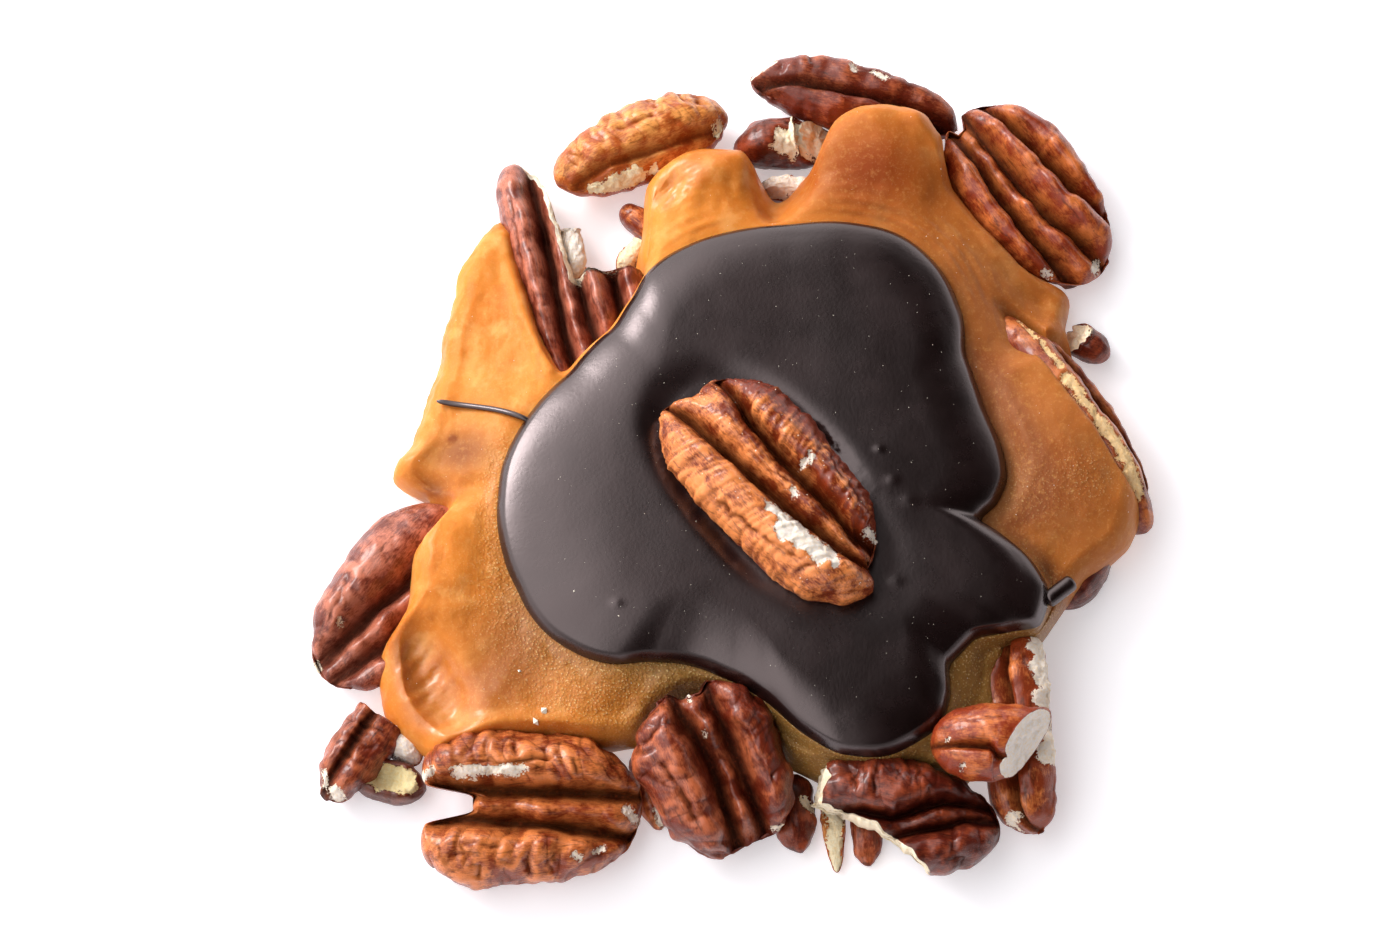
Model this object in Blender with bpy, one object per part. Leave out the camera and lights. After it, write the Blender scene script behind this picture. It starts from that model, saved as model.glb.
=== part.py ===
# Dark chocolate pecan patty: a slab of caramel poured over pecans, a puddle of dark chocolate on top
# and one pecan half pressed into it. Blender 4.5, metres, +Z up. The origin is on the caramel's flat
# underside. Sizes and places below are in millimetres and degrees.

import bmesh
import bpy
import numpy as np
from mathutils import Euler, Matrix

MM = 0.001
COLLECTION = "dark_chocolate_pecan_patty"

GAP = 0.3  # left between pieces that touch
CUTTER_GAP = 0.5  # the same round a cutter, whose flatter facets lose a little of it
CENTRE = (1.0, -2.0)  # middle of both puddles, from which their outlines are measured
COLUMNS = 84  # steps round each puddle

# The caramel's outline: angle, distance from CENTRE, height of the top just inside the edge.
CARAMEL_OUTLINE = (
    (2, 44.2, 9.0), (12, 42.8, 9.6), (23, 40.8, 9.6),  # lower and middle right, over a hidden pecan
    (29, 41.6, 6.5), (34, 44.2, 5.5), (39, 43.2, 6.5), (47, 43.0, 7.6), (56, 44.2, 8.6),  # right sheet
    (62, 48.0, 9.6), (69, 50.2, 9.8), (75, 47.5, 9.6), (79, 40.0, 8.0), (84, 36.2, 6.8),  # back dome
    (91, 41.4, 8.6), (98, 41.8, 8.6), (106, 39.6, 8.0), (111, 33.0, 6.8), (117, 28.6, 6.2),  # rolled lip
    (124, 36.0, 5.6), (129, 44.0, 5.4), (136, 43.2, 5.8), (146, 40.2, 6.2), (158, 37.8, 6.4),  # flat wing
    (169, 37.8, 6.2), (176, 39.6, 5.6), (181, 35.2, 7.4), (190, 37.2, 9.4), (199, 39.4, 9.4),
    (206, 44.6, 8.0), (214, 46.6, 7.6), (221, 45.8, 7.4),  # front left lobe
    (226, 40.0, 7.8), (236, 35.8, 8.2), (246, 31.5, 7.6), (256, 28.4, 7.0), (270, 28.0, 7.0),
    (279, 31.2, 7.0), (287, 34.6, 8.0), (297, 37.0, 8.0), (306, 40.6, 7.4), (315, 39.0, 7.4),
    (325, 35.4, 7.4), (335, 36.8, 7.6), (345, 39.0, 7.6), (353, 43.2, 8.4),
)
CARAMEL_INNER_HEIGHT = 9.3  # of its top where the chocolate ends
CARAMEL_DISH_HEIGHT = 8.2  # of its top under the middle pecan, which pressed it down
DISH_FLANK = (0.2, 0.9)  # where the dish rises, as shares of the way to the chocolate's edge
CARAMEL_ROLL = 3.0  # how far in from the outline the rounded edge starts
NARROW_ROLL = 0.6  # the same where the caramel shows as a narrow strip, as a share of its width
CARAMEL_WIDEST = 0.45  # height of its widest line, as a share of the top's height
SWELLING_FADE = 3.0  # the swellings fade out over this distance towards the chocolate

# Swellings and hollows of the caramel's top: x, y, half length, half width, direction, height.
CARAMEL_SWELLINGS = (
    (36.4, -0.5, 11.0, 6.5, -62, 2.4),  # over the right-hand pecan
    (17.2, 38.5, 6.5, 6.0, 0, 2.4),  # back dome
    (-2.0, 36.0, 7.0, 3.4, 12, 2.0),  # rolled lip at the back left
    (-32.6, -22.6, 4.2, 3.2, -60, -2.6),  # hollow in the front left lobe
    (-37.6, -22.4, 5.6, 1.7, -78, 0.9),  # the hollow's raised outer rim
)

# The chocolate's outline: angle, distance from CENTRE.
CHOCOLATE_OUTLINE = (
    (2, 28.8), (18, 28.0), (30, 28.6), (40, 31.6), (51, 33.8), (59, 34.3), (69, 33.3), (80, 31.4),
    (91, 30.2), (103, 29.0), (113, 27.4), (121, 25.0), (131, 23.4), (144, 23.4), (158, 24.8),
    (172, 26.5), (185, 27.4), (200, 27.9), (215, 28.0), (226, 27.1), (235, 25.6), (244, 23.0),
    (254, 22.0), (266, 23.0), (275, 25.4), (282, 29.4), (289, 32.9), (298, 34.9), (306, 34.9),
    (311, 33.3), (317, 30.5), (323, 30.7), (329, 33.6), (333, 36.0), (338, 35.6), (343, 33.0),
    (347, 29.2), (350, 26.3), (355, 27.8),
)
CHOCOLATE_THICK = 3.1
CHOCOLATE_LIFT = 0.4  # of its underside above the caramel
CHOCOLATE_ROLL = 1.9  # width of its rounded edge
CHOCOLATE_RIM_HEIGHT = 1.2  # of its widest line above the caramel

MOAT = (1.4, -0.8)  # the chocolate's hollow round the middle pecan: how wide, how deep
MOAT_LIP = (3.4, 0.45)  # the lip outside it: how far from the pecan, how high

# A drawn thread of chocolate at the left and a short stub at the right lobe: outer end, inner end,
# radius, sideways bend.
THREAD = ((-33.4, 7.2), (-22.6, 4.5), 0.3, 0.5)
STUB = ((32.4, -16.6), (37.2, -13.1), 0.95, 0.0)
ROD_LIFT = 1.2  # of its axis above the caramel, in radii
ROD_COLUMNS = 8
ROD_ROWS = 8

# Lateral places of a pecan's columns, as shares of its half width. The two grooves lie at 0.27.
DORSAL = (1.0, 0.86, 0.64, 0.42, 0.27, 0.12, -0.12, -0.27, -0.42, -0.64, -0.86, -1.0)
VENTRAL = (-0.6, -0.2, 0.2, 0.6)
BIT_DORSAL = (1.0, 0.8, 0.45, 0.15, -0.15, -0.45, -0.8, -1.0)  # a broken bit has no grooves
GROOVE = (0.27, 0.09, 0.34)  # place, width and depth, the depth as a share of the back's height
RIDGE_EDGE = (0.14, 0.26)  # lateral shares between which the middle ridge ends
RIDGE_DROP = 0.12  # how much lower the ridge is than the two lobes
BACK_SHARE = 0.62  # part of a pecan's height that is above its widest line
BACK_SQUARE, BELLY_SQUARE = 2.6, 3.0  # how square its section is above and below that line
BLUNT = 2.6  # how square its ends are, seen from above
END_ROUND = 0.55  # how round its ends are, 0.5 for an ellipse
TAPER = 0.10  # how much narrower the tip is than the middle, and wider the base
NOTCH = (0.05, -0.55)  # depth of the base's notches as a share of the length, and where they start
LEAN_FROM, LEAN_TO = 0.2, -0.9  # where along its length a lone lobe leans to one side
END_HEIGHT = 0.1  # height of the middle of a broken end
HALF_ROWS = 12
BIT_ROWS = 6
CUTTER_ROWS = 8
CUTTER_REACH = 0.1  # how much less of a flank a cutter has lost, because its rows are coarser

# A pecan half or large piece: centre, (length, width, height), (yaw, pitch, roll). Its local X runs
# from the notched base to the tip, and its grooved back is up. tip and base are where a broken end
# is, from -1 to 1. broken is a flank that has come off: side, from, to, and the lateral share that is
# left. lean is the lateral share to which a lone lobe's base end tapers.
HALVES = {
    "pecan_centre": dict(
        at=(4.3, -4.8, 13.9), size=(32.6, 16.2, 9.6), turn=(-50, 0, 0), rows=18, blunt=3.0
    ),
    "pecan_front_left": dict(at=(-22.4, -37.6, 4.1), size=(24.2, 16.4, 8.6), turn=(1, 0, 12)),
    "pecan_front_middle": dict(
        at=(-2.3, -34.1, 6.6), size=(19.4, 15.8, 8.0), turn=(-64, 22, 4), tip=0.9, blunt=3.0
    ),
    "pecan_front_right": dict(
        at=(17.4, -38.8, 5.5), size=(22.0, 12.2, 7.6), turn=(-12, 0, 8), base=-0.8,
        broken=(-1, -1.0, 0.1, 0.35),
    ),
    "pecan_chunk": dict(
        at=(28.2, -32.3, 10.9), size=(15.0, 8.2, 6.6), turn=(-3, -6, 0), tip=0.42, rows=BIT_ROWS
    ),
    "pecan_right_front": dict(
        at=(31.0, -29.2, 3.9), size=(22.6, 8.4, 6.2), turn=(-86, 2, 62), blunt=4.5
    ),
    "pecan_right": dict(at=(37.4, 6.4, 4.4), size=(30.0, 8.0, 10.4), turn=(-57, 0, -28)),
    "pecan_back_right": dict(at=(33.8, 34.7, 4.2), size=(24.6, 15.0, 9.0), turn=(-54, 5, -10)),
    "pecan_back": dict(at=(13.9, 46.6, 3.6), size=(24.6, 7.0, 8.0), turn=(-15, 0, -24)),
    "pecan_back_left": dict(at=(-10.8, 40.7, 4.0), size=(21.4, 8.8, 8.6), turn=(205, 0, 24)),
    "pecan_left_back": dict(
        at=(-17.3, 24.1, 4.0), size=(33.0, 14.0, 9.0), turn=(-75, -3, 6), blunt=4.6,
        broken=(1, -1.0, 0.05, -0.2), lean=-0.62,
    ),
    "pecan_left_front": dict(at=(-37.6, -13.3, 2.9), size=(24.2, 14.6, 7.0), turn=(-127, 0, 0)),
    "pecan_corner": dict(at=(-41, -30.8, 2.7), size=(13.4, 6.6, 6.0), turn=(-124, 0, 0), base=-0.6),
}

# Smaller pieces without grooves, placed in the same way.
BITS = {
    "pecan_right_low": dict(at=(38.4, -10.1, 2.2), size=(9.6, 5.6, 5.2), turn=(52, 0, 0)),
    "pecan_right_bit": dict(at=(39.6, 17.5, 1.7), size=(6.4, 3.8, 3.8), turn=(-30, 0, 0), base=-0.4),
    "pecan_back_chunk": dict(at=(5.8, 41.7, 2.8), size=(12.0, 5.8, 6.6), turn=(186, 0, 0), base=-0.7),
    "pecan_back_shard": dict(at=(6.6, 36.2, 2.3), size=(7.6, 3.2, 4.4), turn=(-10, 0, 0)),
    "pecan_bit_back": dict(at=(-10.9, 32.1, 1.7), size=(5.8, 3.0, 3.8), turn=(-42, 0, 0)),
    "pecan_bit_pale": dict(at=(-11.6, 28.4, 1.6), size=(5.4, 2.8, 3.6), turn=(52, 0, 0), tip=0.5),
    "pecan_bit_front": dict(at=(-9.7, -34.7, 1.3), size=(9.6, 3.0, 2.8), turn=(-74, 0, 0)),
    "pecan_bit_dark": dict(at=(6.3, -37.5, 1.4), size=(9.0, 4.6, 3.0), turn=(-82, 0, 0)),
    "pecan_bit_shard": dict(at=(10.6, -38.8, 1.0), size=(10.4, 2.6, 1.7), turn=(-87, 0, 0)),
    "pecan_bit_last": dict(at=(14.2, -38.9, 1.0), size=(8.8, 3.6, 1.7), turn=(-88, 0, 0)),
}

# The corner piece is one broken pecan: these two are joined to its lobe.
CORNER_JOINS = {
    "corner_cup": dict(at=(-37.7, -34.1, 2.0), size=(8.0, 4.8, 4.6), turn=(-14, 0, 0)),
    "corner_flesh": dict(at=(-36.8, -29.6, 1.8), size=(6.4, 3.4, 4.2), turn=(-50, 0, 0)),
}
PECANS = {**HALVES, **BITS}
CHOCOLATE_NEIGHBOURS = ("pecan_centre", "pecan_left_back", "pecan_right_front", "pecan_chunk")

# Colour, roughness of each finish.
FINISHES = {
    "caramel": ((0.58, 0.235, 0.075), 0.32),
    "chocolate": ((0.030, 0.015, 0.012), 0.34),
    "pecan": ((0.30, 0.075, 0.024), 0.48),
    "pecan_pale": ((0.72, 0.55, 0.32), 0.62),
}
PALE = ("pecan_back_shard", "pecan_bit_pale", "pecan_bit_shard")


def clear_scene():
    for thing in list(bpy.data.objects):
        bpy.data.objects.remove(thing, do_unlink=True)


def finish(name, kind):
    colour, roughness = FINISHES[kind]
    material = bpy.data.materials.new(name)
    material.use_nodes = True
    shader = material.node_tree.nodes["Principled BSDF"]
    shader.inputs["Base Color"].default_value = (*colour, 1.0)
    shader.inputs["Roughness"].default_value = roughness
    shader.inputs["Metallic"].default_value = 0.0
    return material


def smooth(edge0, edge1, value):
    share = np.clip((value - edge0) / (edge1 - edge0), 0.0, 1.0)
    return share * share * (3.0 - 2.0 * share)


def closed_curve(points, angles):
    # A smooth loop through rows of (angle, value, value...), read at the angles. Its slope at each row
    # is the harmonic mean of the slopes on both sides, so it never swings past the rows.
    rows = np.array(points, float)
    known = np.radians(rows[:, 0])
    values = rows[:, 1:]
    after = np.append(known[1:], known[0] + 2.0 * np.pi)
    span = after - known
    right = (np.roll(values, -1, axis=0) - values) / span[:, None]
    left = np.roll(right, 1, axis=0)
    same_way = left * right > 0.0
    slope = np.where(same_way, 2.0 * left * right / np.where(same_way, left + right, 1.0), 0.0)
    turned = np.mod(angles - known[0], 2.0 * np.pi) + known[0]
    index = np.clip(np.searchsorted(known, turned, side="right") - 1, 0, len(known) - 1)
    following = (index + 1) % len(known)
    share = ((turned - known[index]) / span[index])[:, None]
    width = span[index][:, None]
    return (
        (1 + 2 * share) * (1 - share) ** 2 * values[index]
        + share * (1 - share) ** 2 * width * slope[index]
        + share**2 * (3 - 2 * share) * values[following]
        + share**2 * (share - 1) * width * slope[following]
    )


def caramel_edge(angles):
    # Outline distance, edge height and roll of the caramel, and the chocolate's outline distance.
    outline, height = closed_curve(CARAMEL_OUTLINE, angles).T
    cover = closed_curve(CHOCOLATE_OUTLINE, angles)[:, 0]
    roll = np.minimum(CARAMEL_ROLL, NARROW_ROLL * (outline - cover))
    return outline, height, roll, cover


def caramel_top(x, y):
    # Height of the caramel: a shallow dish under the chocolate, then a slope to its edge, with swellings.
    away = np.hypot(x - CENTRE[0], y - CENTRE[1])
    outline, height, roll, cover = caramel_edge(np.arctan2(y - CENTRE[1], x - CENTRE[0]))
    rise = smooth(*DISH_FLANK, away / cover)
    top = CARAMEL_DISH_HEIGHT + (CARAMEL_INNER_HEIGHT - CARAMEL_DISH_HEIGHT) * rise
    slope = smooth(0.0, 1.0, (away - cover) / (outline - roll - cover))
    top = top + (height - CARAMEL_INNER_HEIGHT) * slope
    outside = smooth(0.0, SWELLING_FADE, away - cover)
    for sx, sy, long_half, wide_half, direction, swell in CARAMEL_SWELLINGS:
        turn = np.radians(direction)
        along = (x - sx) * np.cos(turn) + (y - sy) * np.sin(turn)
        across = (y - sy) * np.cos(turn) - (x - sx) * np.sin(turn)
        top = top + swell * outside * np.exp(-((along / long_half) ** 2) - (across / wide_half) ** 2)
    return top


def moulded(name, columns, rows, place, material, collection):
    # A sphere whose points are moved by place(column, row). Column 0 is at +X, row 0 is the top pole.
    shell = bmesh.new()
    bmesh.ops.create_uvsphere(shell, u_segments=columns, v_segments=rows, radius=1.0)
    bmesh.ops.triangulate(shell, faces=shell.faces[:], quad_method="FIXED")
    at = np.array([vertex.co for vertex in shell.verts])
    row = np.rint(np.degrees(np.arccos(np.clip(at[:, 2], -1.0, 1.0))) * rows / 180.0).astype(int)
    column = np.rint(np.degrees(np.arctan2(at[:, 1], at[:, 0])) * columns / 360.0).astype(int) % columns
    for vertex, point in zip(shell.verts, place(column, row) * MM):
        vertex.co = point
    mesh = bpy.data.meshes.new(name)
    shell.to_mesh(mesh)
    shell.free()
    mesh.shade_smooth()
    body = bpy.data.objects.new(name, mesh)
    if material:
        mesh.materials.append(material)
    collection.objects.link(body)
    return body


# The caramel's rows, from the top pole down: share of the way to the chocolate's edge, share from
# there to the roll, then the angle on the rounded edge, and last a ring on the flat underside.
CARAMEL_UNDER = (0.0, 0.36, 0.72, 0.93)
CARAMEL_SLOPE = (0.06, 0.28, 0.52, 0.76, 1.0)
CARAMEL_ROUND = (62.0, 30.0, 0.0, -40.0, -90.0)
CARAMEL_BASE = (0.5, 0.0)


def caramel(material, collection):
    rows = len(CARAMEL_UNDER) + len(CARAMEL_SLOPE) + len(CARAMEL_ROUND) + len(CARAMEL_BASE) - 1

    def place(column, row):
        angle = column * 2.0 * np.pi / COLUMNS
        outline, _, roll, cover = caramel_edge(angle)
        outline_in = outline - roll
        distances = [cover * share for share in CARAMEL_UNDER]
        distances += [cover + (outline_in - cover) * share for share in CARAMEL_SLOPE]
        distances += [outline_in + roll * np.cos(np.radians(turn)) for turn in CARAMEL_ROUND]
        distances += [outline_in * share for share in CARAMEL_BASE]
        away = np.array(distances)[row, np.arange(len(row))]
        x = CENTRE[0] + away * np.cos(angle)
        y = CENTRE[1] + away * np.sin(angle)
        inner = np.minimum(away, outline_in)
        top = caramel_top(CENTRE[0] + inner * np.cos(angle), CENTRE[1] + inner * np.sin(angle))
        turns = [90.0] * (len(CARAMEL_UNDER) + len(CARAMEL_SLOPE)) + list(CARAMEL_ROUND)
        turns += [-90.0] * len(CARAMEL_BASE)
        up = np.sin(np.radians(np.array(turns)))[row]
        widest = CARAMEL_WIDEST * top
        z = np.where(up > 0, widest + (top - widest) * up, widest * (1.0 + up))
        return np.column_stack((x, y, z))

    return moulded("caramel", COLUMNS, rows, place, material, collection)


# The chocolate's rows: shares over its top, angles on its rounded edge, then shares back underneath,
# which match the caramel's own rows so that the two faces run side by side.
CHOCOLATE_TOP = (0.0, 0.2, 0.34, 0.47, 0.6, 0.73, 0.85)
CHOCOLATE_ROUND = (90.0, 45.0, 0.0)
CHOCOLATE_UNDER = (0.93, 0.72, 0.36, 0.0)


def from_middle_pecan(x, y):
    # Rough distance outside the middle pecan's outline, read as an ellipse.
    spec = PECANS["pecan_centre"]
    turn = np.radians(spec["turn"][0])
    half = np.array(spec["size"][:2]) / 2.0
    along = (x - spec["at"][0]) * np.cos(turn) + (y - spec["at"][1]) * np.sin(turn)
    across = (y - spec["at"][1]) * np.cos(turn) - (x - spec["at"][0]) * np.sin(turn)
    return (np.hypot(along / half[0], across / half[1]) - 1.0) * half[1]


def chocolate(material, collection):
    rows = len(CHOCOLATE_TOP) + len(CHOCOLATE_ROUND) + len(CHOCOLATE_UNDER) - 1

    def place(column, row):
        angle = column * 2.0 * np.pi / COLUMNS
        cover = caramel_edge(angle)[3]
        inner = cover - CHOCOLATE_ROLL
        distances = [inner * share for share in CHOCOLATE_TOP]
        distances += [inner + CHOCOLATE_ROLL * np.cos(np.radians(turn)) for turn in CHOCOLATE_ROUND]
        distances += [cover * share for share in CHOCOLATE_UNDER]
        away = np.array(distances)[row, np.arange(len(row))]
        x = CENTRE[0] + away * np.cos(angle)
        y = CENTRE[1] + away * np.sin(angle)
        bed = caramel_top(x, y)
        outside = from_middle_pecan(x, y)
        thick = CHOCOLATE_THICK + MOAT[1] * np.exp(-((np.maximum(outside, 0.0) / MOAT[0]) ** 2))
        thick += MOAT_LIP[1] * np.exp(-(((outside - MOAT_LIP[0]) / MOAT[0]) ** 2))
        turns = [90.0] * len(CHOCOLATE_TOP) + list(CHOCOLATE_ROUND) + [-90.0] * len(CHOCOLATE_UNDER)
        up = np.sin(np.radians(np.array(turns)))[row]
        above = CHOCOLATE_RIM_HEIGHT + (thick - CHOCOLATE_RIM_HEIGHT) * up
        return np.column_stack((x, y, bed + np.where(up < 0, CHOCOLATE_LIFT, above)))

    return moulded("chocolate", COLUMNS, rows, place, material, collection)


def rod(name, start, end, radius, bend, collection):
    # A stub or thread of chocolate that lies on the caramel and runs into the chocolate's edge.
    start, end = np.array(start), np.array(end)
    side = np.array((start[1] - end[1], end[0] - start[0])) / np.linalg.norm(end - start)
    bed = caramel_top(*np.column_stack((start, end))).max()
    axis_height = bed + GAP + ROD_LIFT * radius

    def place(column, row):
        share = 0.5 - 0.5 * np.cos(np.pi * row / ROD_ROWS)
        around = column * 2.0 * np.pi / ROD_COLUMNS
        thick = radius * np.sqrt(np.maximum(1.0 - (2.0 * share - 1.0) ** 4, 0.0))
        off = bend * np.sin(np.pi * share) + thick * np.cos(around)
        at = end + np.outer(share, start - end) + np.outer(off, side)
        return np.column_stack((at, axis_height + thick * np.sin(around)))

    return moulded(name, ROD_COLUMNS, ROD_ROWS, place, None, collection)


def pecan_section(side):
    # Height of a pecan's back and belly at a lateral place, as shares of their full heights.
    lateral = np.abs(side)
    back = np.sqrt((1.0 - lateral**BACK_SQUARE).clip(0.0))
    belly = np.sqrt((1.0 - lateral**BELLY_SQUARE).clip(0.0))
    return back, belly


def pecan(name, spec, collection, material=None, grow=0.0):
    # A pecan half as a row of sections: two lobes with a lower ridge between two grooves, a flatter
    # belly, a blunt notched base and a narrower tip. With grow it is its own cutter, without grooves.
    dorsal, default_rows = (DORSAL, HALF_ROWS) if name in HALVES else (BIT_DORSAL, BIT_ROWS)
    laterals = np.array(dorsal + VENTRAL)
    columns = len(laterals)
    rows = CUTTER_ROWS if grow and name in HALVES else spec.get("rows", default_rows)
    length, width, height = (size + 2.0 * grow for size in spec["size"])
    tip, base = spec.get("tip", 1.0), spec.get("base", -1.0)
    blunt, lean = spec.get("blunt", BLUNT), spec.get("lean", 0.0)
    turn = np.array(
        Matrix.Rotation(np.radians(spec["turn"][0]), 3, "Z")
        @ Euler((np.radians(spec["turn"][2]), np.radians(spec["turn"][1]), 0.0)).to_matrix()
    )

    def place(column, row):
        low, high = int(tip < 1.0), rows - int(base > -1.0)
        first, last = np.arccos(tip), np.arccos(base)
        share = np.clip((row - low) / (high - low), 0.0, 1.0)
        station = np.cos(first + (last - first) * share)
        end = (row == 0) | (row == rows)
        side = laterals[column]
        is_back = column < len(dorsal)
        body = (1.0 - np.abs(station) ** blunt).clip(0.0) ** END_ROUND
        back, belly = pecan_section(side)
        lateral = np.abs(side)
        groove = np.exp(-(((lateral - GROOVE[0]) / GROOVE[1]) ** 2))
        if not grow and name in HALVES:
            back = back * (1.0 - GROOVE[2] * groove) - RIDGE_DROP * (1.0 - smooth(*RIDGE_EDGE, lateral))
        z = np.where(is_back, BACK_SHARE * back, -(1.0 - BACK_SHARE) * belly) * height * body
        middle = lean * smooth(LEAN_FROM, LEAN_TO, station)
        if "broken" in spec:
            which, start, stop, left = spec["broken"]
            stop -= CUTTER_REACH * bool(grow)
            gone = (station >= start) & (station <= stop) & (side * which > left)
            side = np.where(gone, which * left, side)
        half = 0.5 * width * (1.0 - TAPER * station)
        y = half * (middle + (side - middle) * body)
        notch = NOTCH[0] * length * smooth(NOTCH[1], -1.0, station) * groove
        x = 0.5 * length * station + np.where(is_back & ~end, notch, 0.0)
        x += np.where(station >= tip, grow, 0.0) * (tip < 1.0)
        x -= np.where(station <= base, grow, 0.0) * (base > -1.0)
        y = np.where(end, half * middle, y)
        z = np.where(end, END_HEIGHT * height * body, z)
        return np.column_stack((x, y, z)) @ turn.T + np.array(spec["at"])

    return moulded(name + ("_cutter" if grow else ""), columns, rows, place, material, collection)


def cut(body, cutters):
    # The body less each cutter.
    for cutter in cutters:
        modifier = body.modifiers.new("cut", "BOOLEAN")
        modifier.operation = "DIFFERENCE"
        modifier.solver = "EXACT"
        modifier.object = cutter
    apply_modifiers(body)


def join(body, toppings):
    # The body with all of the collection's objects fused to it. They are then removed.
    modifier = body.modifiers.new("join", "BOOLEAN")
    modifier.operation = "UNION"
    modifier.solver = "EXACT"
    modifier.operand_type = "COLLECTION"
    modifier.collection = toppings
    apply_modifiers(body)
    for topping in list(toppings.objects):
        bpy.data.objects.remove(topping, do_unlink=True)
    bpy.data.collections.remove(toppings)


def apply_modifiers(body):
    # The body as plain triangles, without the loose scraps that a cut leaves.
    bpy.context.view_layer.update()
    evaluated = body.evaluated_get(bpy.context.evaluated_depsgraph_get())
    mesh = bpy.data.meshes.new_from_object(evaluated)
    body.modifiers.clear()
    body.data = mesh
    shell = bmesh.new()
    shell.from_mesh(mesh)
    bmesh.ops.triangulate(shell, faces=shell.faces[:])
    keep = largest_island(shell)
    bmesh.ops.delete(shell, geom=[v for v in shell.verts if v not in keep], context="VERTS")
    shell.to_mesh(mesh)
    shell.free()


def largest_island(shell):
    unseen, largest = set(shell.verts), set()
    while unseen:
        island, edge = set(), [unseen.pop()]
        while edge:
            vertex = edge.pop()
            island.add(vertex)
            near = [e.other_vert(vertex) for e in vertex.link_edges]
            edge += [v for v in near if v in unseen]
            unseen.difference_update(near)
        largest = max(largest, island, key=len)
    return largest


def new_collection(name):
    collection = bpy.data.collections.new(name)
    bpy.context.scene.collection.children.link(collection)
    return collection


def main():
    clear_scene()
    parts = new_collection(COLLECTION)
    for name, spec in PECANS.items():
        pecan(name, spec, parts, finish(name, "pecan_pale" if name in PALE else "pecan"))
    slab = caramel(finish("caramel", "caramel"), parts)
    puddle = chocolate(finish("chocolate", "chocolate"), parts)

    corner_pieces = new_collection("corner_pieces")
    for name, spec in CORNER_JOINS.items():
        pecan(name, spec, corner_pieces)
    join(parts.objects["pecan_corner"], corner_pieces)

    cutters = new_collection("cutters")
    cuts = {}
    for name, spec in {**PECANS, **CORNER_JOINS}.items():
        cuts[name] = pecan(name, spec, cutters, grow=CUTTER_GAP)
        cuts[name].hide_render = True
        cuts[name].display_type = "WIRE"
    cut(slab, [cutter for name, cutter in cuts.items() if name != "pecan_centre"])
    cut(puddle, [cuts[name] for name in CHOCOLATE_NEIGHBOURS])

    drips = new_collection("drips")
    rod("thread", *THREAD, drips)
    rod("stub", *STUB, drips)
    join(puddle, drips)


main()
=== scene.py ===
# Looks of the dark chocolate pecan patty: a slab of soft caramel poured over pecans, a puddle of dark
# chocolate on it and a pecan half pressed into the chocolate. Every piece is a numpy surface with
# relief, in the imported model's frame. Lengths below are in millimetres, angles in degrees.

import bpy
import numpy as np
from mathutils import Euler, Matrix, Vector


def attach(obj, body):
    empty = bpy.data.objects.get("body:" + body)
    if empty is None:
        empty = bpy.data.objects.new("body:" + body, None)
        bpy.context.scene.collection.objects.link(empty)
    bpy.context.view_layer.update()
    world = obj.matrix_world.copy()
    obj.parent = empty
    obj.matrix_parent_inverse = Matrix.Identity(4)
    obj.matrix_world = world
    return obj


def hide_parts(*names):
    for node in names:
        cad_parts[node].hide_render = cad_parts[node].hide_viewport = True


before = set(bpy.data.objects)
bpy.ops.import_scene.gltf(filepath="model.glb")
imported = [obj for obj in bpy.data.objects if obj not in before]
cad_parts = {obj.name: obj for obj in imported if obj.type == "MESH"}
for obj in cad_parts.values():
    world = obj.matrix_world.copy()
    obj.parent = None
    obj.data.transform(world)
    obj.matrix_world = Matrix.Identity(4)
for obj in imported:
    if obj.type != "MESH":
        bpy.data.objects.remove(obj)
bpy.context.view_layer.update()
mm = 0.001


# Numbers that whole arrays are put through.

def fade(start, stop, value):
    # 0 before start, 1 after stop, 3x^2 - 2x^3 between them.
    share = np.clip((value - start) / (stop - start), 0.0, 1.0)
    return share * share * (3.0 - 2.0 * share)


def bump(distance, width, sharpness=2.0):
    # 1 at the middle, falling as exp(-(|distance| / width)^sharpness).
    return np.exp(-((np.abs(distance) / width) ** sharpness))


def noise(points, size, seed):
    # Gradient noise, about -1 to 1: each corner of a lattice of cells of that size has a seeded random
    # slope, and the slopes of a cell's eight corners are blended with 6x^5 - 15x^4 + 10x^3.
    cells = 24
    slopes = np.random.default_rng(seed).normal(size=(cells, cells, cells, 3))
    slopes /= np.linalg.norm(slopes, axis=-1, keepdims=True)
    place = points / np.asarray(size, float)
    corner = np.floor(place).astype(int)
    inside = place - corner
    blend = inside**3 * (inside * (inside * 6.0 - 15.0) + 10.0)
    total = np.zeros(points.shape[:-1])
    for step in np.ndindex(2, 2, 2):
        at = (corner + step) % cells
        slope = slopes[at[..., 0], at[..., 1], at[..., 2]]
        weight = np.prod(np.where(np.array(step, bool), blend, 1.0 - blend), axis=-1)
        total += weight * np.sum(slope * (inside - step), axis=-1)
    return 1.7 * total


def together(*parts):
    # Separate coordinates, or plain numbers, as one array of points.
    return np.stack(np.broadcast_arrays(*parts), axis=-1)


def layeredNoise(points, size, seed, layers=3):
    # The noise plus finer layers, each half as large and half as strong as the one before.
    size = np.asarray(size, float)
    return sum(noise(points, size / 2**k, seed + k) / 2**k for k in range(layers))


def furrows(points, size, seed, width=0.13):
    # 1 along a net of thin winding lines: the places where the noise passes through zero.
    return bump(noise(points, size, seed), width)


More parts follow.
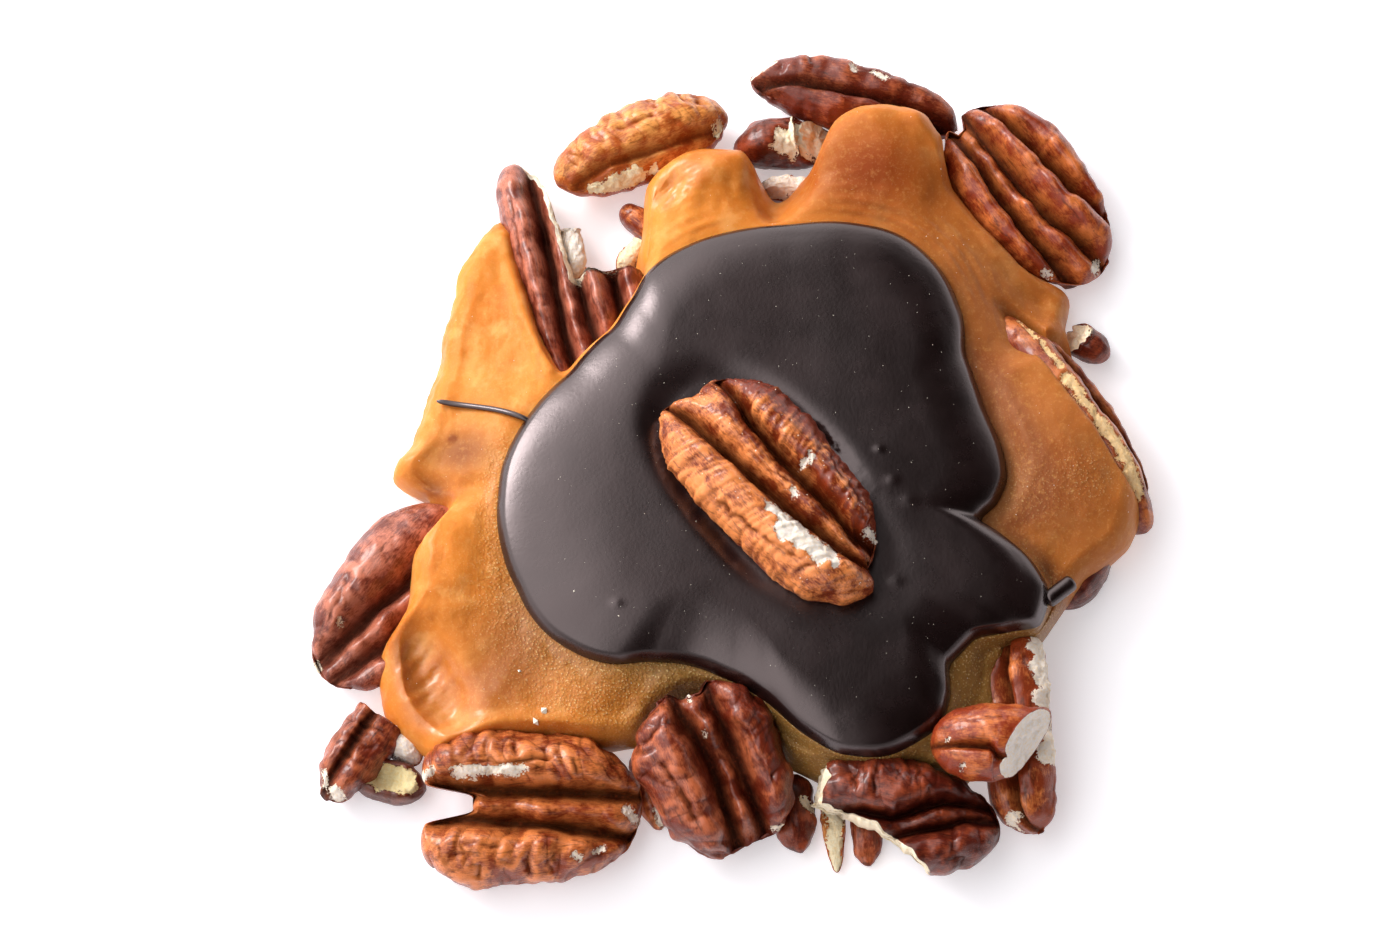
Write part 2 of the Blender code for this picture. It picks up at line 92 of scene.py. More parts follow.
def lineDistance(x, y, corners):
    # Distance in the plane from each point to a line through the corners, and how far along it, 0 to 1.
    best = np.full(np.shape(x), 1e9)
    along = np.zeros(np.shape(x))
    last = len(corners) - 1
    for k in range(last):
        (x0, y0), (x1, y1) = corners[k], corners[k + 1]
        dx, dy = x1 - x0, y1 - y0
        share = np.clip(((x - x0) * dx + (y - y0) * dy) / (dx * dx + dy * dy), 0.0, 1.0)
        away = np.hypot(x - x0 - share * dx, y - y0 - share * dy)
        along = np.where(away < best, (k + share) / last, along)
        best = np.minimum(away, best)
    return best, along


def closedCurve(points, angles):
    # A smooth loop through rows of (angle, value, value...), read at the angles: cubic pieces whose slope
    # at each row is the harmonic mean of the slopes on both sides.
    rows = np.array(points, float)
    known, values = np.radians(rows[:, 0]), rows[:, 1:]
    span = np.append(known[1:], known[0] + 2.0 * np.pi) - known
    right = (np.roll(values, -1, axis=0) - values) / span[:, None]
    left = np.roll(right, 1, axis=0)
    sameWay = left * right > 0.0
    slope = np.where(sameWay, 2.0 * left * right / np.where(sameWay, left + right, 1.0), 0.0)
    turned = np.mod(angles - known[0], 2.0 * np.pi) + known[0]
    index = np.clip(np.searchsorted(known, turned, side="right") - 1, 0, len(known) - 1)
    following = (index + 1) % len(known)
    share = ((turned - known[index]) / span[index])[..., None]
    width = span[index][..., None]
    return (
        (1 + 2 * share) * (1 - share) ** 2 * values[index]
        + share * (1 - share) ** 2 * width * slope[index]
        + share**2 * (3 - 2 * share) * values[following]
        + share**2 * (share - 1) * width * slope[following]
    )


def outward(grid):
    # Unit normals of a grid whose columns close on themselves, from the cross product of its two steps.
    down = np.gradient(grid, axis=0)
    across = np.roll(grid, -1, axis=1) - np.roll(grid, 1, axis=1)
    normal = np.cross(across, down)
    normal[0], normal[-1] = normal[1].mean(0), normal[-2].mean(0)
    normal /= np.maximum(np.linalg.norm(normal, axis=-1, keepdims=True), 1e-9)
    centre = grid.reshape(-1, 3).mean(0)
    return normal if np.sum(normal * (grid - centre)) > 0 else -normal


def closedSkin(name, grid, masks, material, node):
    # A grid of points in millimetres as a closed mesh. Its columns close on themselves, and its first and
    # last rows each become one point. The masks are numbers over the same grid, kept as attributes.
    rows, columns = grid.shape[:2]

    def packed(values):
        return np.concatenate((values[0, :1], values[1:-1].reshape(-1, *values.shape[2:]), values[-1, :1]))

    points = packed(grid) * mm
    ring = 1 + np.arange((rows - 2) * columns).reshape(rows - 2, columns)
    beside = np.roll(ring, -1, axis=1)
    quads = np.stack((ring[:-1], beside[:-1], beside[1:], ring[1:]), axis=-1).reshape(-1, 4)
    first = np.stack((np.zeros_like(ring[0]), beside[0], ring[0]), axis=-1)
    last = np.stack((np.full_like(ring[0], len(points) - 1), ring[-1], beside[-1]), axis=-1)
    fans = np.concatenate((first, last))
    volume = sum(
        np.einsum("ij,ij->", points[part[:, 0]], np.cross(points[part[:, 1]], points[part[:, 2]]))
        for part in (quads[:, [0, 1, 2]], quads[:, [0, 2, 3]], fans)
    )
    if volume < 0:
        quads, fans = quads[:, ::-1], fans[:, ::-1]
    corners = np.concatenate((quads.ravel(), fans.ravel()))
    starts = np.concatenate((np.arange(len(quads)) * 4, quads.size + np.arange(len(fans)) * 3))
    mesh = bpy.data.meshes.new(name)
    mesh.vertices.add(len(points))
    mesh.loops.add(len(corners))
    mesh.polygons.add(len(starts))
    mesh.vertices.foreach_set("co", points.ravel())
    mesh.loops.foreach_set("vertex_index", corners)
    mesh.polygons.foreach_set("loop_start", starts)
    mesh.update(calc_edges=True)
    mesh.shade_smooth()
    for label, values in masks.items():
        flat = packed(values).astype(np.float32)
        kind, field = ("FLOAT_VECTOR", "vector") if flat.ndim == 2 else ("FLOAT", "value")
        mesh.attributes.new(label, kind, "POINT").data.foreach_set(field, flat.ravel())
    return dressed(name, mesh, material, node)


def dressed(name, mesh, material, node):
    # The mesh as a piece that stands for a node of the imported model.
    mesh.materials.append(material)
    body = bpy.data.objects.new(name, mesh)
    bpy.context.scene.collection.objects.link(body)
    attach(body, "root")
    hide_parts(node)
    return body


# Shader nodes.

def addNode(tree, kind, inputs=(), **settings):
    # A node with its settings, its inputs either linked from a socket or set to a value.
    made = tree.nodes.new(kind)
    for key, value in settings.items():
        setattr(made, key, value)
    for key, value in dict(inputs).items():
        if isinstance(value, bpy.types.NodeSocket):
            tree.links.new(value, made.inputs[key])
        elif isinstance(value, tuple) and len(value) == 3 and made.inputs[key].type == "RGBA":
            made.inputs[key].default_value = (*value, 1.0)
        else:
            made.inputs[key].default_value = value
    return made


def mixed(tree, share, first, second, blend="MIX"):
    # Two colours mixed by a share.
    made = addNode(tree, "ShaderNodeMix", {0: share}, data_type="RGBA", blend_type=blend)
    for socket, value in ((made.inputs[6], first), (made.inputs[7], second)):
        if isinstance(value, bpy.types.NodeSocket):
            tree.links.new(value, socket)
        else:
            socket.default_value = (*value, 1.0)
    return made.outputs[2]


def calc(tree, operation, first, second, clamp=False):
    # One math operation on two values.
    inputs = {0: first, 1: second}
    return addNode(tree, "ShaderNodeMath", inputs, operation=operation, use_clamp=clamp).outputs[0]


def ranged(tree, value, low, high, toLow=0.0, toHigh=1.0):
    # A value eased from one range into another, as in fade.
    inputs = {"Value": value, "From Min": low, "From Max": high, "To Min": toLow, "To Max": toHigh}
    return addNode(tree, "ShaderNodeMapRange", inputs, interpolation_type="SMOOTHSTEP").outputs[0]


def mask(tree, label, output="Fac"):
    # The numbers that closedSkin kept under this label.
    return addNode(tree, "ShaderNodeAttribute", attribute_name=label).outputs[output]


def cloud(tree, vector, scale, detail=3.0, roughness=0.5, distortion=0.0):
    # Fractal noise, about 0.2 to 0.8.
    inputs = {"Vector": vector, "Scale": scale, "Detail": detail}
    inputs.update({"Roughness": roughness, "Distortion": distortion})
    return addNode(tree, "ShaderNodeTexNoise", inputs).outputs["Fac"]


def stretched(tree, vector, scale):
    # A place multiplied by a scale per axis, so that a small number draws a texture out.
    return addNode(tree, "ShaderNodeMapping", {"Vector": vector, "Scale": scale}).outputs[0]


def newGroup(name, inputs, outputs):
    # A shader node group with named sockets, returned with its input and output nodes.
    group = bpy.data.node_groups.new(name, "ShaderNodeTree")
    for label, kind, value in inputs:
        socket = group.interface.new_socket(label, in_out="INPUT", socket_type=kind)
        socket.default_value = (*value, 1.0) if isinstance(value, tuple) else value
    for label, kind in outputs:
        group.interface.new_socket(label, in_out="OUTPUT", socket_type=kind)
    return group, group.nodes.new("NodeGroupInput").outputs, group.nodes.new("NodeGroupOutput").inputs


colour, number = "NodeSocketColor", "NodeSocketFloat"


def makeSkinGroup():
    # Pecan skin: brown that is mottled and darker along thin veins, with pale mealy flesh where the skin is
    # gone. It is darker in the grooves and creases, dark pith with painted shade, and lighter on the
    # crests, which is painted highlight.
    inputs = (
        ("Dark", colour, (0.05, 0.012, 0.005)),
        ("Middle", colour, (0.25, 0.07, 0.02)),
        ("Light", colour, (0.5, 0.2, 0.07)),
        ("Flesh", colour, (0.8, 0.65, 0.42)),
    )
    outputs = (("Colour", colour), ("Roughness", number), ("Sheen", number), ("Height", number))
    tree, given, result = newGroup("pecanSkin", inputs, outputs)
    local = mask(tree, "local", "Vector")
    along = stretched(tree, local, (0.22, 1.0, 1.0))
    blotch = cloud(tree, local, 0.45, 5.0, 0.62)
    vein = cloud(tree, along, 1.7, 5.0, 0.62, 0.5)
    fibre = cloud(tree, along, 5.5, 3.0, 0.6, 0.3)
    grain = cloud(tree, local, 7.0, 4.0, 0.65)
    crumb = cloud(tree, local, 3.2, 5.0, 0.66)
    tone = calc(tree, "ADD", mask(tree, "tone"), ranged(tree, blotch, 0.34, 0.66, -0.5, 0.5))
    tone = calc(tree, "ADD", tone, ranged(tree, fibre, 0.32, 0.68, -0.25, 0.25), True)
    skin = mixed(tree, tone, given["Middle"], given["Light"])
    skin = mixed(tree, ranged(tree, vein, 0.54, 0.68, 0.0, 0.55), skin, given["Dark"])
    skin = mixed(tree, ranged(tree, grain, 0.56, 0.72, 0.0, 0.3), skin, given["Dark"])
    skin = mixed(tree, ranged(tree, grain, 0.36, 0.26, 0.0, 0.3), skin, (0.75, 0.36, 0.15))
    # Painted shade with real dark pith: the cavity mask turns the skin towards this dark colour.
    pithAndShade = mixed(tree, ranged(tree, crumb, 0.5, 0.72, 0.0, 0.5), given["Dark"], given["Middle"])
    skin = mixed(tree, mask(tree, "cavity"), skin, pithAndShade)
    warm = mixed(tree, 1.0, given["Flesh"], (1.0, 0.90, 0.72), "MULTIPLY")
    flesh = mixed(tree, ranged(tree, crumb, 0.42, 0.68), given["Flesh"], warm)
    edge = calc(tree, "ADD", mask(tree, "flesh"), ranged(tree, crumb, 0.3, 0.7, -0.3, 0.3))
    bare = ranged(tree, edge, 0.46, 0.54)
    tree.links.new(mixed(tree, bare, skin, flesh), result["Colour"])
    gloss = ranged(tree, grain, 0.3, 0.7, 0.30, 0.5)
    gloss = addNode(tree, "ShaderNodeMix", {0: bare, 2: gloss, 3: 0.8}).outputs[0]
    tree.links.new(gloss, result["Roughness"])
    hidden = calc(tree, "MAXIMUM", mask(tree, "cavity"), bare)
    tree.links.new(ranged(tree, hidden, 0.1, 0.6, 0.58, 0.0), result["Sheen"])
    height = calc(tree, "ADD", calc(tree, "MULTIPLY", fibre, 0.5), calc(tree, "MULTIPLY", grain, 0.7))
    mealy = calc(tree, "MULTIPLY", calc(tree, "MULTIPLY", crumb, bare), 2.2)
    tree.links.new(calc(tree, "ADD", height, mealy), result["Height"])
    return tree


def newMaterial(name, sockets):
    # A material with plain values in some of its Principled shader's sockets.
    material = bpy.data.materials.new(name)
    material.use_nodes = True
    shader = material.node_tree.nodes["Principled BSDF"]
    for label, value in sockets.items():
        shader.inputs[label].default_value = value
    return material, material.node_tree, shader


skinGroup = makeSkinGroup()


# Linear colours of each skin: dark, middle, light and bare flesh.
skins = {
    "warm": ((0.050, 0.008, 0.002), (0.200, 0.024, 0.005), (0.90, 0.285, 0.080), (1.0, 0.91, 0.84)),
    "tan": ((0.022, 0.004, 0.001), (0.26, 0.036, 0.008), (0.78, 0.225, 0.060), (1.0, 0.88, 0.78)),
    "red": ((0.008, 0.001, 0.001), (0.165, 0.019, 0.006), (0.50, 0.120, 0.045), (1.0, 0.88, 0.78)),
    "deep": ((0.006, 0.001, 0.001), (0.10, 0.010, 0.004), (0.32, 0.056, 0.020), (1.0, 0.87, 0.68)),
    "golden": ((0.13, 0.022, 0.003), (0.46, 0.088, 0.013), (0.89, 0.35, 0.085), (1.0, 0.87, 0.62)),
    "crusty": ((0.030, 0.005, 0.002), (0.22, 0.030, 0.008), (0.58, 0.16, 0.040), (0.90, 0.62, 0.33)),
    "cup": ((0.012, 0.003, 0.002), (0.10, 0.016, 0.008), (0.22, 0.05, 0.02), (0.78, 0.66, 0.38)),
    "purple": ((0.030, 0.005, 0.003), (0.165, 0.024, 0.011), (0.54, 0.16, 0.090), (1.0, 0.89, 0.74)),
    "rosy": ((0.022, 0.003, 0.001), (0.27, 0.032, 0.008), (0.66, 0.17, 0.040), (1.0, 0.91, 0.85)),
}


def makePecanMaterial(name, skin):
    # The skin under a thin oily coat, which the grooves and the bare flesh don't have.
    sockets = {"Coat IOR": 1.6, "Coat Roughness": 0.27, "Specular IOR Level": 0.15}
    sockets["Specular Tint"] = (1.0, 0.5, 0.3, 1.0)
    material, tree, shader = newMaterial(name, sockets)
    look = tree.nodes.new("ShaderNodeGroup")
    look.node_tree = skinGroup
    for label, value in zip(("Dark", "Middle", "Light", "Flesh"), skin):
        look.inputs[label].default_value = (*value, 1.0)
    height = {"Height": look.outputs["Height"], "Strength": 0.7, "Distance": 0.18 * mm}
    relief = addNode(tree, "ShaderNodeBump", height)
    tree.links.new(look.outputs["Colour"], shader.inputs["Base Color"])
    tree.links.new(look.outputs["Roughness"], shader.inputs["Roughness"])
    tree.links.new(look.outputs["Sheen"], shader.inputs["Coat Weight"])
    tree.links.new(relief.outputs["Normal"], shader.inputs["Normal"])
    return material


# Pecans. at is the middle, size is length, width and height, turn is yaw, pitch and roll. Local X runs
# from the notched base to the tip, the grooved back is up. tip and base are the places, -1 to 1, where a
# broken end is. slant and skew are how much such an end leans per millimetre of height and of width, jag
# is how ragged it is. broken is a flank that has come off: side, from, to, lateral share that is left.
# rim is a bare edge. notch, lobeEnd, bulge and tipCut shape the two ends. grooves, creases (line, width,
# depth) and chips (line, half width) are lines in the local plan.
pecans = {
    "pecan_centre": dict(
        at=(4.5, -4.5, 13.9), size=(30.8, 15.1, 9.6), turn=(-50, 0, 0), blunt=4.0, skin="warm",
        grid=(280, 320), tone=0.09, sideShade=-0.55, notch=0.3, lobeEnd=1.3, baseBlunt=3.8, grooveWidth=0.9,
        grooveDepth=0.66, tipCut=(0.3, 0.5, 2.2), skew=0.2, rib=0.17, ribSize=(0.95, 5.5, 5.5), crackShade=0.3,
        grooves=(
            (
                (-16, -3.5), (-12.3, -2.8), (-7.4, -2.4), (-2.2, -1.9), (2.9, -1.4), (7.3, -0.4),
                (10.2, 0.2), (12.6, 0.9), (16, 1.7),
            ),
            (
                (-16, 3.2), (-12.3, 2.9), (-7.1, 2.0), (-2.1, 1.9), (1.8, 2.0), (6.1, 2.3), (10.3, 2.3),
                (12.6, 2.7), (16, 3.4),
            ),
        ),
        creases=(
            (((-4.7, -6.4), (-0.1, -6.6), (5.0, -5.5), (9.8, -4.1)), 0.35, 0.55),
            (((-6.8, -7.3), (-5.5, -5.2), (-4.6, -3.3)), 0.25, 0.35),
            (((9.2, -6.1), (9.9, -4.2), (10.6, -1.9), (11.4, -0.4)), 0.28, 0.4),
            (((0.7, 6.3), (3.6, 5.5), (6.3, 5.4), (10.0, 5.4)), 0.3, 0.35),
            (((-4.9, -1.1), (-1.1, -0.4), (2.1, 0.9)), 0.22, 0.3),
            (((1.1, 7.5), (0.7, 6.3), (0.0, 5.1)), 0.25, 0.35),
        ),
        chips=(
            (((2.2, -2.9), (4.0, -2.4), (5.4, -2.9)), 0.75),
            (((5.0, -2.8), (8.2, -2.6), (10.2, -1.6)), 1.4), (((2.1, 0.2), (2.6, 0.0)), 0.35),
            (((0.5, 2.9), (0.7, 4.1)), 0.35), (((0.3, 4.1), (1.1, 3.5)), 0.2),
            (((10.6, 3.6), (11.4, 4.6), (11.0, 6.0)), 0.4),
        ),
    ),
    "pecan_front_left": dict(
        at=(-22.4, -37.6, 4.1), size=(24.2, 16.4, 8.6), turn=(1, 0, 12), skin="tan", grid=(210, 250),
        notch=3.6, base=-0.88, blunt=3.2, baseBlunt=6.0, capFlesh=0.0, bulge=1.5, lobeEnd=3.0, capRows=34,
        wrinkle=1.3, grooveWidth=1.3, grooveDepth=0.78, rib=0.13, tone=0.27, sideShade=0.15,
        grooves=(
            ((-12, 2.4), (-8.2, 2.0), (-1.3, 1.7), (4.1, 1.5), (8.5, 1.2), (12, 0.9)),
            ((-12, -1.2), (-7.9, -1.2), (-3.8, -1.5), (1.4, -1.9), (5.8, -2.5), (9.3, -3.2), (12, -3.6)),
        ),
        creases=(
            (((-9.8, 4.9), (-3.0, 4.7), (1.1, 5.1), (4.1, 5.6)), 0.35, 0.55),
            (((-7.4, -3.7), (-6.1, -4.0), (-4.2, -4.3), (-2.4, -4.1)), 0.35, 0.5),
            (((-5.4, -7.6), (-5.2, -6.0)), 0.35, 0.5), (((0.0, -7.2), (-0.6, -5.6)), 0.35, 0.45),
            (((2.5, -7.0), (1.9, -5.6)), 0.3, 0.4), (((-1.6, 6.9), (-1.0, 5.2)), 0.3, 0.5),
            (((1.6, 6.6), (2.2, 4.8)), 0.3, 0.5), (((-4.6, 7.2), (-4.2, 5.2)), 0.3, 0.35),
            (((4.6, 4.9), (5.4, 3.2)), 0.3, 0.35), (((-8.6, -5.4), (-7.0, -5.0), (-6.2, -5.8)), 0.3, 0.4),
            (((-3.0, -5.4), (-2.0, -6.2), (-1.4, -5.2)), 0.3, 0.35),
        ),
        chips=(
            (((-7.7, 3.6), (-4.1, 3.9), (-0.6, 4.0)), 0.62), (((4.8, -5.2), (5.4, -5.6)), 0.3),
            (((7.1, -5.0), (7.9, -4.6)), 0.3), (((10.6, -0.4), (11.4, -1.6)), 0.5),
            (((-11.3, 3.4), (-10.4, 4.2)), 0.4),
        ),
    ),
    "pecan_front_middle": dict(
        at=(-2.3, -34.1, 6.6), size=(19.4, 15.8, 8.0), turn=(-64, 22, 4), tip=0.9, blunt=3.0, skin="red",
        grid=(190, 240), notch=1.2, tone=-0.04, sideShade=-0.2, jag=0.5, capFlesh=0.0, grooveWidth=1.25,
        grooveDepth=0.9, wrinkle=1.4, rib=0.1,
        grooves=(
            ((-10, -1.3), (-6.2, -0.8), (-1.3, -0.1), (2.0, -0.5), (5.0, -0.9), (9, -1.2)),
            ((-10, 2.6), (-2.0, 2.6), (4.9, 2.3), (9, 1.9)),
        ),
        creases=(
            (((-8.2, -2.2), (-7.0, -5.0), (-6.3, -6.8)), 0.3, 0.5),
            (((-5.8, -5.8), (-1.3, -4.7), (2.0, -4.3), (4.4, -4.4)), 0.4, 0.7),
            (((-6.4, 4.6), (-3.0, 4.0), (0.5, 4.6), (3.5, 4.3)), 0.3, 0.35),
            (((-3.4, 7.0), (-2.6, 4.4)), 0.3, 0.35), (((2.4, 6.6), (2.9, 4.6)), 0.3, 0.35),
            (((1.5, -6.8), (1.0, -4.8)), 0.3, 0.3),
        ),
        chips=(
            (((-9.3, 0.9), (-8.3, 0.6)), 0.22), (((-4.6, 0.5), (-4.0, 0.4)), 0.12),
            (((8.2, 3.0), (8.4, 4.0)), 0.2),
        ),
    ),
    "pecan_front_right": dict(
        at=(17.4, -38.8, 5.5), size=(22.0, 12.2, 7.6), turn=(-12, 0, 8), base=-0.8,
        broken=(-1, -1.0, 0.42, ((-9, -0.12), (-5, -0.16), (-1, -0.32), (2, -0.62), (5, -0.98))),
        skin="deep", grid=(200, 240), slant=-0.25, jag=0.5, tone=-0.12, wrinkle=1.4, brokenSoft=0.12,
        ragged=0.06, rib=0.1,
        grooves=(
            ((-9, -1.4), (-3.8, -0.6), (-0.5, -0.6), (2.3, 1.0), (4.6, 2.2), (8.4, 2.6), (11, 2.6)),
            ((-9, -3.6), (-2.0, -3.4), (2.5, -1.5), (5.0, -0.4), (7.1, 0.7), (11, 1.4)),
        ),
        creases=(
            (((-5.2, 5.0), (-5.4, 2.6), (-4.9, 0.4)), 0.3, 0.45),
            (((-3.2, 5.2), (-3.4, 3.0), (-2.4, 0.6)), 0.35, 0.5), (((-1.0, 5.2), (-0.9, 3.0)), 0.25, 0.3),
            (((1.4, 5.2), (1.2, 3.2)), 0.25, 0.3), (((2.2, 3.6), (3.0, 1.6)), 0.3, 0.35),
            (((5.6, 0.6), (6.4, -2.4), (6.0, -4.0)), 0.3, 0.35),
        ),
        chips=((((-9.4, 2.4), (-9.2, 0.0)), 0.4),),
    ),
    "pecan_chunk": dict(
        at=(28.2, -32.3, 10.9), size=(15.0, 8.2, 6.6), turn=(-3, -6, 0), tip=0.36, skin="rosy",
        grid=(150, 180), slant=0.38, skew=0.62, tone=-0.05, sideShade=-0.2, wrinkle=0.6, grooveDepth=0.26,
        grooveWidth=0.55,
        grooves=(((-8, -0.6), (-2.9, -1.1), (-1.0, -1.2), (0.6, -1.9), (4, -2.2)),),
        creases=((((-4.6, 1.6), (-2.0, 1.5), (0.5, 1.9)), 0.3, 0.2),),
        chips=((((-5.6, -0.4), (-5.5, -0.3)), 0.18), (((-4.0, -3.3), (-3.8, -3.2)), 0.16)),
    ),
    "pecan_right_front": dict(
        at=(31.4, -29.2, 3.9), size=(22.6, 8.4, 6.2), turn=(-86, 2, 52), blunt=6.0, skin="tan",
        grid=(170, 170), tone=-0.1, grooveDepth=0.25, grooveWidth=0.7, backShare=0.8,
        rim=(1, -0.86, 0.35, 0.97),
        grooves=(((-12, 1.2), (-9.0, 1.6), (-2.1, 1.8), (4.2, 1.4), (12, 1.0)),),
        chips=((((9.6, 0.2), (10.6, -1.0)), 0.5), (((-9.0, -0.6), (-6.0, -1.2)), 0.3)),
    ),
    "pecan_right": dict(
        at=(37.4, 6.4, 4.4), size=(30.0, 8.0, 10.4), turn=(-57, 0, -28), skin="crusty", grid=(190, 170),
        tone=0.2,
        grooves=(((-15, 2.0), (0, 1.4), (15, 1.6)),),
        grooveDepth=0.3,
        chips=(
            (((-12.6, 0.2), (-9.6, -0.9)), 0.35), (((-8.6, -0.9), (-5.0, -1.2)), 0.4),
            (((-3.6, -1.5), (-1.8, -1.6), (1.6, -1.4)), 0.6),
            (((2.6, -1.2), (5.8, -1.2), (9.4, -1.1), (11.4, -0.9)), 0.85),
        ),
    ),
    "pecan_back_right": dict(
        at=(33.8, 34.7, 4.2), size=(24.6, 15.0, 9.0), turn=(-54, 5, -10), skin="rosy", grid=(210, 240),
        tone=0.2, sideShade=-0.1, wrinkle=0.7, notch=1.4, grooveWidth=1.1, grooveDepth=0.78,
        grooves=(
            ((-12, -3.0), (-7.7, -3.4), (-2.3, -4.0), (2.7, -4.1), (7.3, -3.6), (12, -2.4)),
            ((-12, -0.8), (-4.7, -1.2), (-0.1, -1.2), (4.7, -0.7), (8.6, 0.6), (12, 1.6)),
            ((-12, 2.0), (-6.5, 2.7), (-1.1, 3.2), (3.0, 3.8), (7.0, 5.2), (12, 7.6)),
        ),
        creases=((((-4.4, 6.4), (-3.4, 3.6)), 0.3, 0.3),),
        chips=((((11.0, 0.9), (11.7, 0.1)), 0.5), (((8.6, -4.9), (9.2, -4.4)), 0.3)),
    ),
    "pecan_back": dict(
        at=(13.9, 46.6, 3.6), size=(24.6, 7.0, 8.0), turn=(-15, 0, -24), skin="red", grid=(170, 160),
        tone=-0.08, wrinkle=1.2,
        grooves=(((-12, -1.6), (12, -1.4)),),
        grooveDepth=0.35,
        creases=(
            (((-6.2, 3.0), (-6.0, 0.0)), 0.3, 0.4), (((-1.0, 3.0), (-0.7, 0.4)), 0.3, 0.4),
            (((3.5, 3.0), (3.8, 0.6)), 0.3, 0.3),
        ),
        chips=(
            (((-11.8, 0.2), (-10.6, 0.8)), 0.8), (((-1.2, 1.6), (-0.9, 0.6)), 0.35),
            (((1.6, 1.0), (2.6, 0.6)), 0.5),
        ),
    ),
    "pecan_back_left": dict(
        at=(-10.8, 40.7, 4.0), size=(21.4, 8.8, 8.6), turn=(205, 0, 24), skin="golden", grid=(190, 190),
        wrinkle=1.1, tone=0.12, lump=0.26, rib=0.13,
        grooves=(((-11, 2.6), (-4.9, 3.6), (0.1, 3.6), (2.8, 3.3), (11, 2.0)),),
        grooveDepth=0.08, grooveWidth=0.5, rim=(1, 0.0, 0.7, 0.985), sideShade=0.15,
        creases=(
            (((-6.5, -3.4), (-6.2, 1.2)), 0.4, 0.7), (((-8.4, -2.8), (-8.0, 1.4)), 0.4, 0.7),
            (((-3.6, -3.6), (-3.0, 0.4)), 0.35, 0.5), (((1.0, -3.6), (1.2, -0.4)), 0.35, 0.5),
            (((4.2, -3.2), (4.0, -0.8)), 0.3, 0.4), (((2.6, 0.6), (-0.6, 1.0), (-3.0, 0.8)), 0.4, 0.5),
        ),
        chips=((((8.4, -2.2), (6.4, -3.0)), 0.5), (((-9.6, 2.4), (-8.4, 3.2)), 0.4)),
    ),
    "pecan_left_back": dict(
        at=(-17.3, 24.1, 4.0), size=(33.0, 14.0, 9.0), turn=(-75, -3, 6), blunt=4.6,
        broken=(1, -1.0, 0.05, -0.2),
        lean=-0.62, skin="purple", grid=(230, 230), wrinkle=0.6, grooveWidth=0.95, grooveDepth=0.78,
        tone=0.3, ragged=0.03,
        grooves=(
            ((-17, -2.6), (-7.0, -2.7), (-0.8, -3.1), (6.4, -3.6), (11.1, -3.6), (17, -3.4)),
            ((-17, 1.0), (-1.0, -0.4), (1.4, -0.5), (5.8, -0.5), (10.0, -0.3), (17, 0.4)),
            ((-17, 5.4), (0.0, 3.4), (5.8, 3.2), (10.0, 3.0), (17, 2.4)),
        ),
        creases=(
            (((-12.3, -5.4), (-6.2, -5.9), (1.2, -6.5)), 0.3, 0.4), (((3.0, -5.0), (3.2, -4.2)), 0.2, 0.2),
        ),
    ),
    "pecan_left_front": dict(
        at=(-37.6, -13.3, 2.9), size=(24.2, 14.6, 7.0), turn=(-127, 0, 0), skin="purple", grid=(200, 230),
        notch=1.0, tone=0.28, grooveWidth=1.25, grooveDepth=0.85,
        grooves=(
            ((-12, 1.6), (-1.6, 0.3), (2.8, -0.6), (7.6, -1.1), (12, -1.9)),
            ((-12, 3.6), (4.1, 3.0), (5.8, 2.6), (9.1, 1.6), (12, 0.6)),
        ),
        creases=(
            (((1.0, -5.4), (4.0, -4.2), (8.0, -3.4)), 0.3, 0.3), (((5.0, -0.2), (6.0, -3.0)), 0.25, 0.15),
        ),
        chips=((((6.2, -2.6), (6.6, -2.4)), 0.25), (((11.2, -2.2), (11.6, -1.6)), 0.25)),
    ),
    "pecan_corner": dict(
        at=(-41.0, -30.8, 2.7), size=(13.4, 6.6, 6.0), turn=(-124, 0, 0), base=-0.6, skin="red",
        grid=(140, 150), wrinkle=1.4, tone=0.15, lump=0.3,
        grooves=(((-7, -0.8), (7, -0.4)),),
        grooveDepth=0.2,
        creases=(
            (((-2.6, 2.4), (-2.2, -1.8)), 0.3, 0.4), (((-0.6, 2.6), (-0.2, -2.0)), 0.3, 0.4),
            (((1.6, 2.4), (1.8, -2.0)), 0.3, 0.4),
        ),
        chips=((((5.6, 0.8), (6.2, 1.6)), 0.7), (((4.6, -1.6), (5.4, -1.0)), 0.5)),
    ),
}

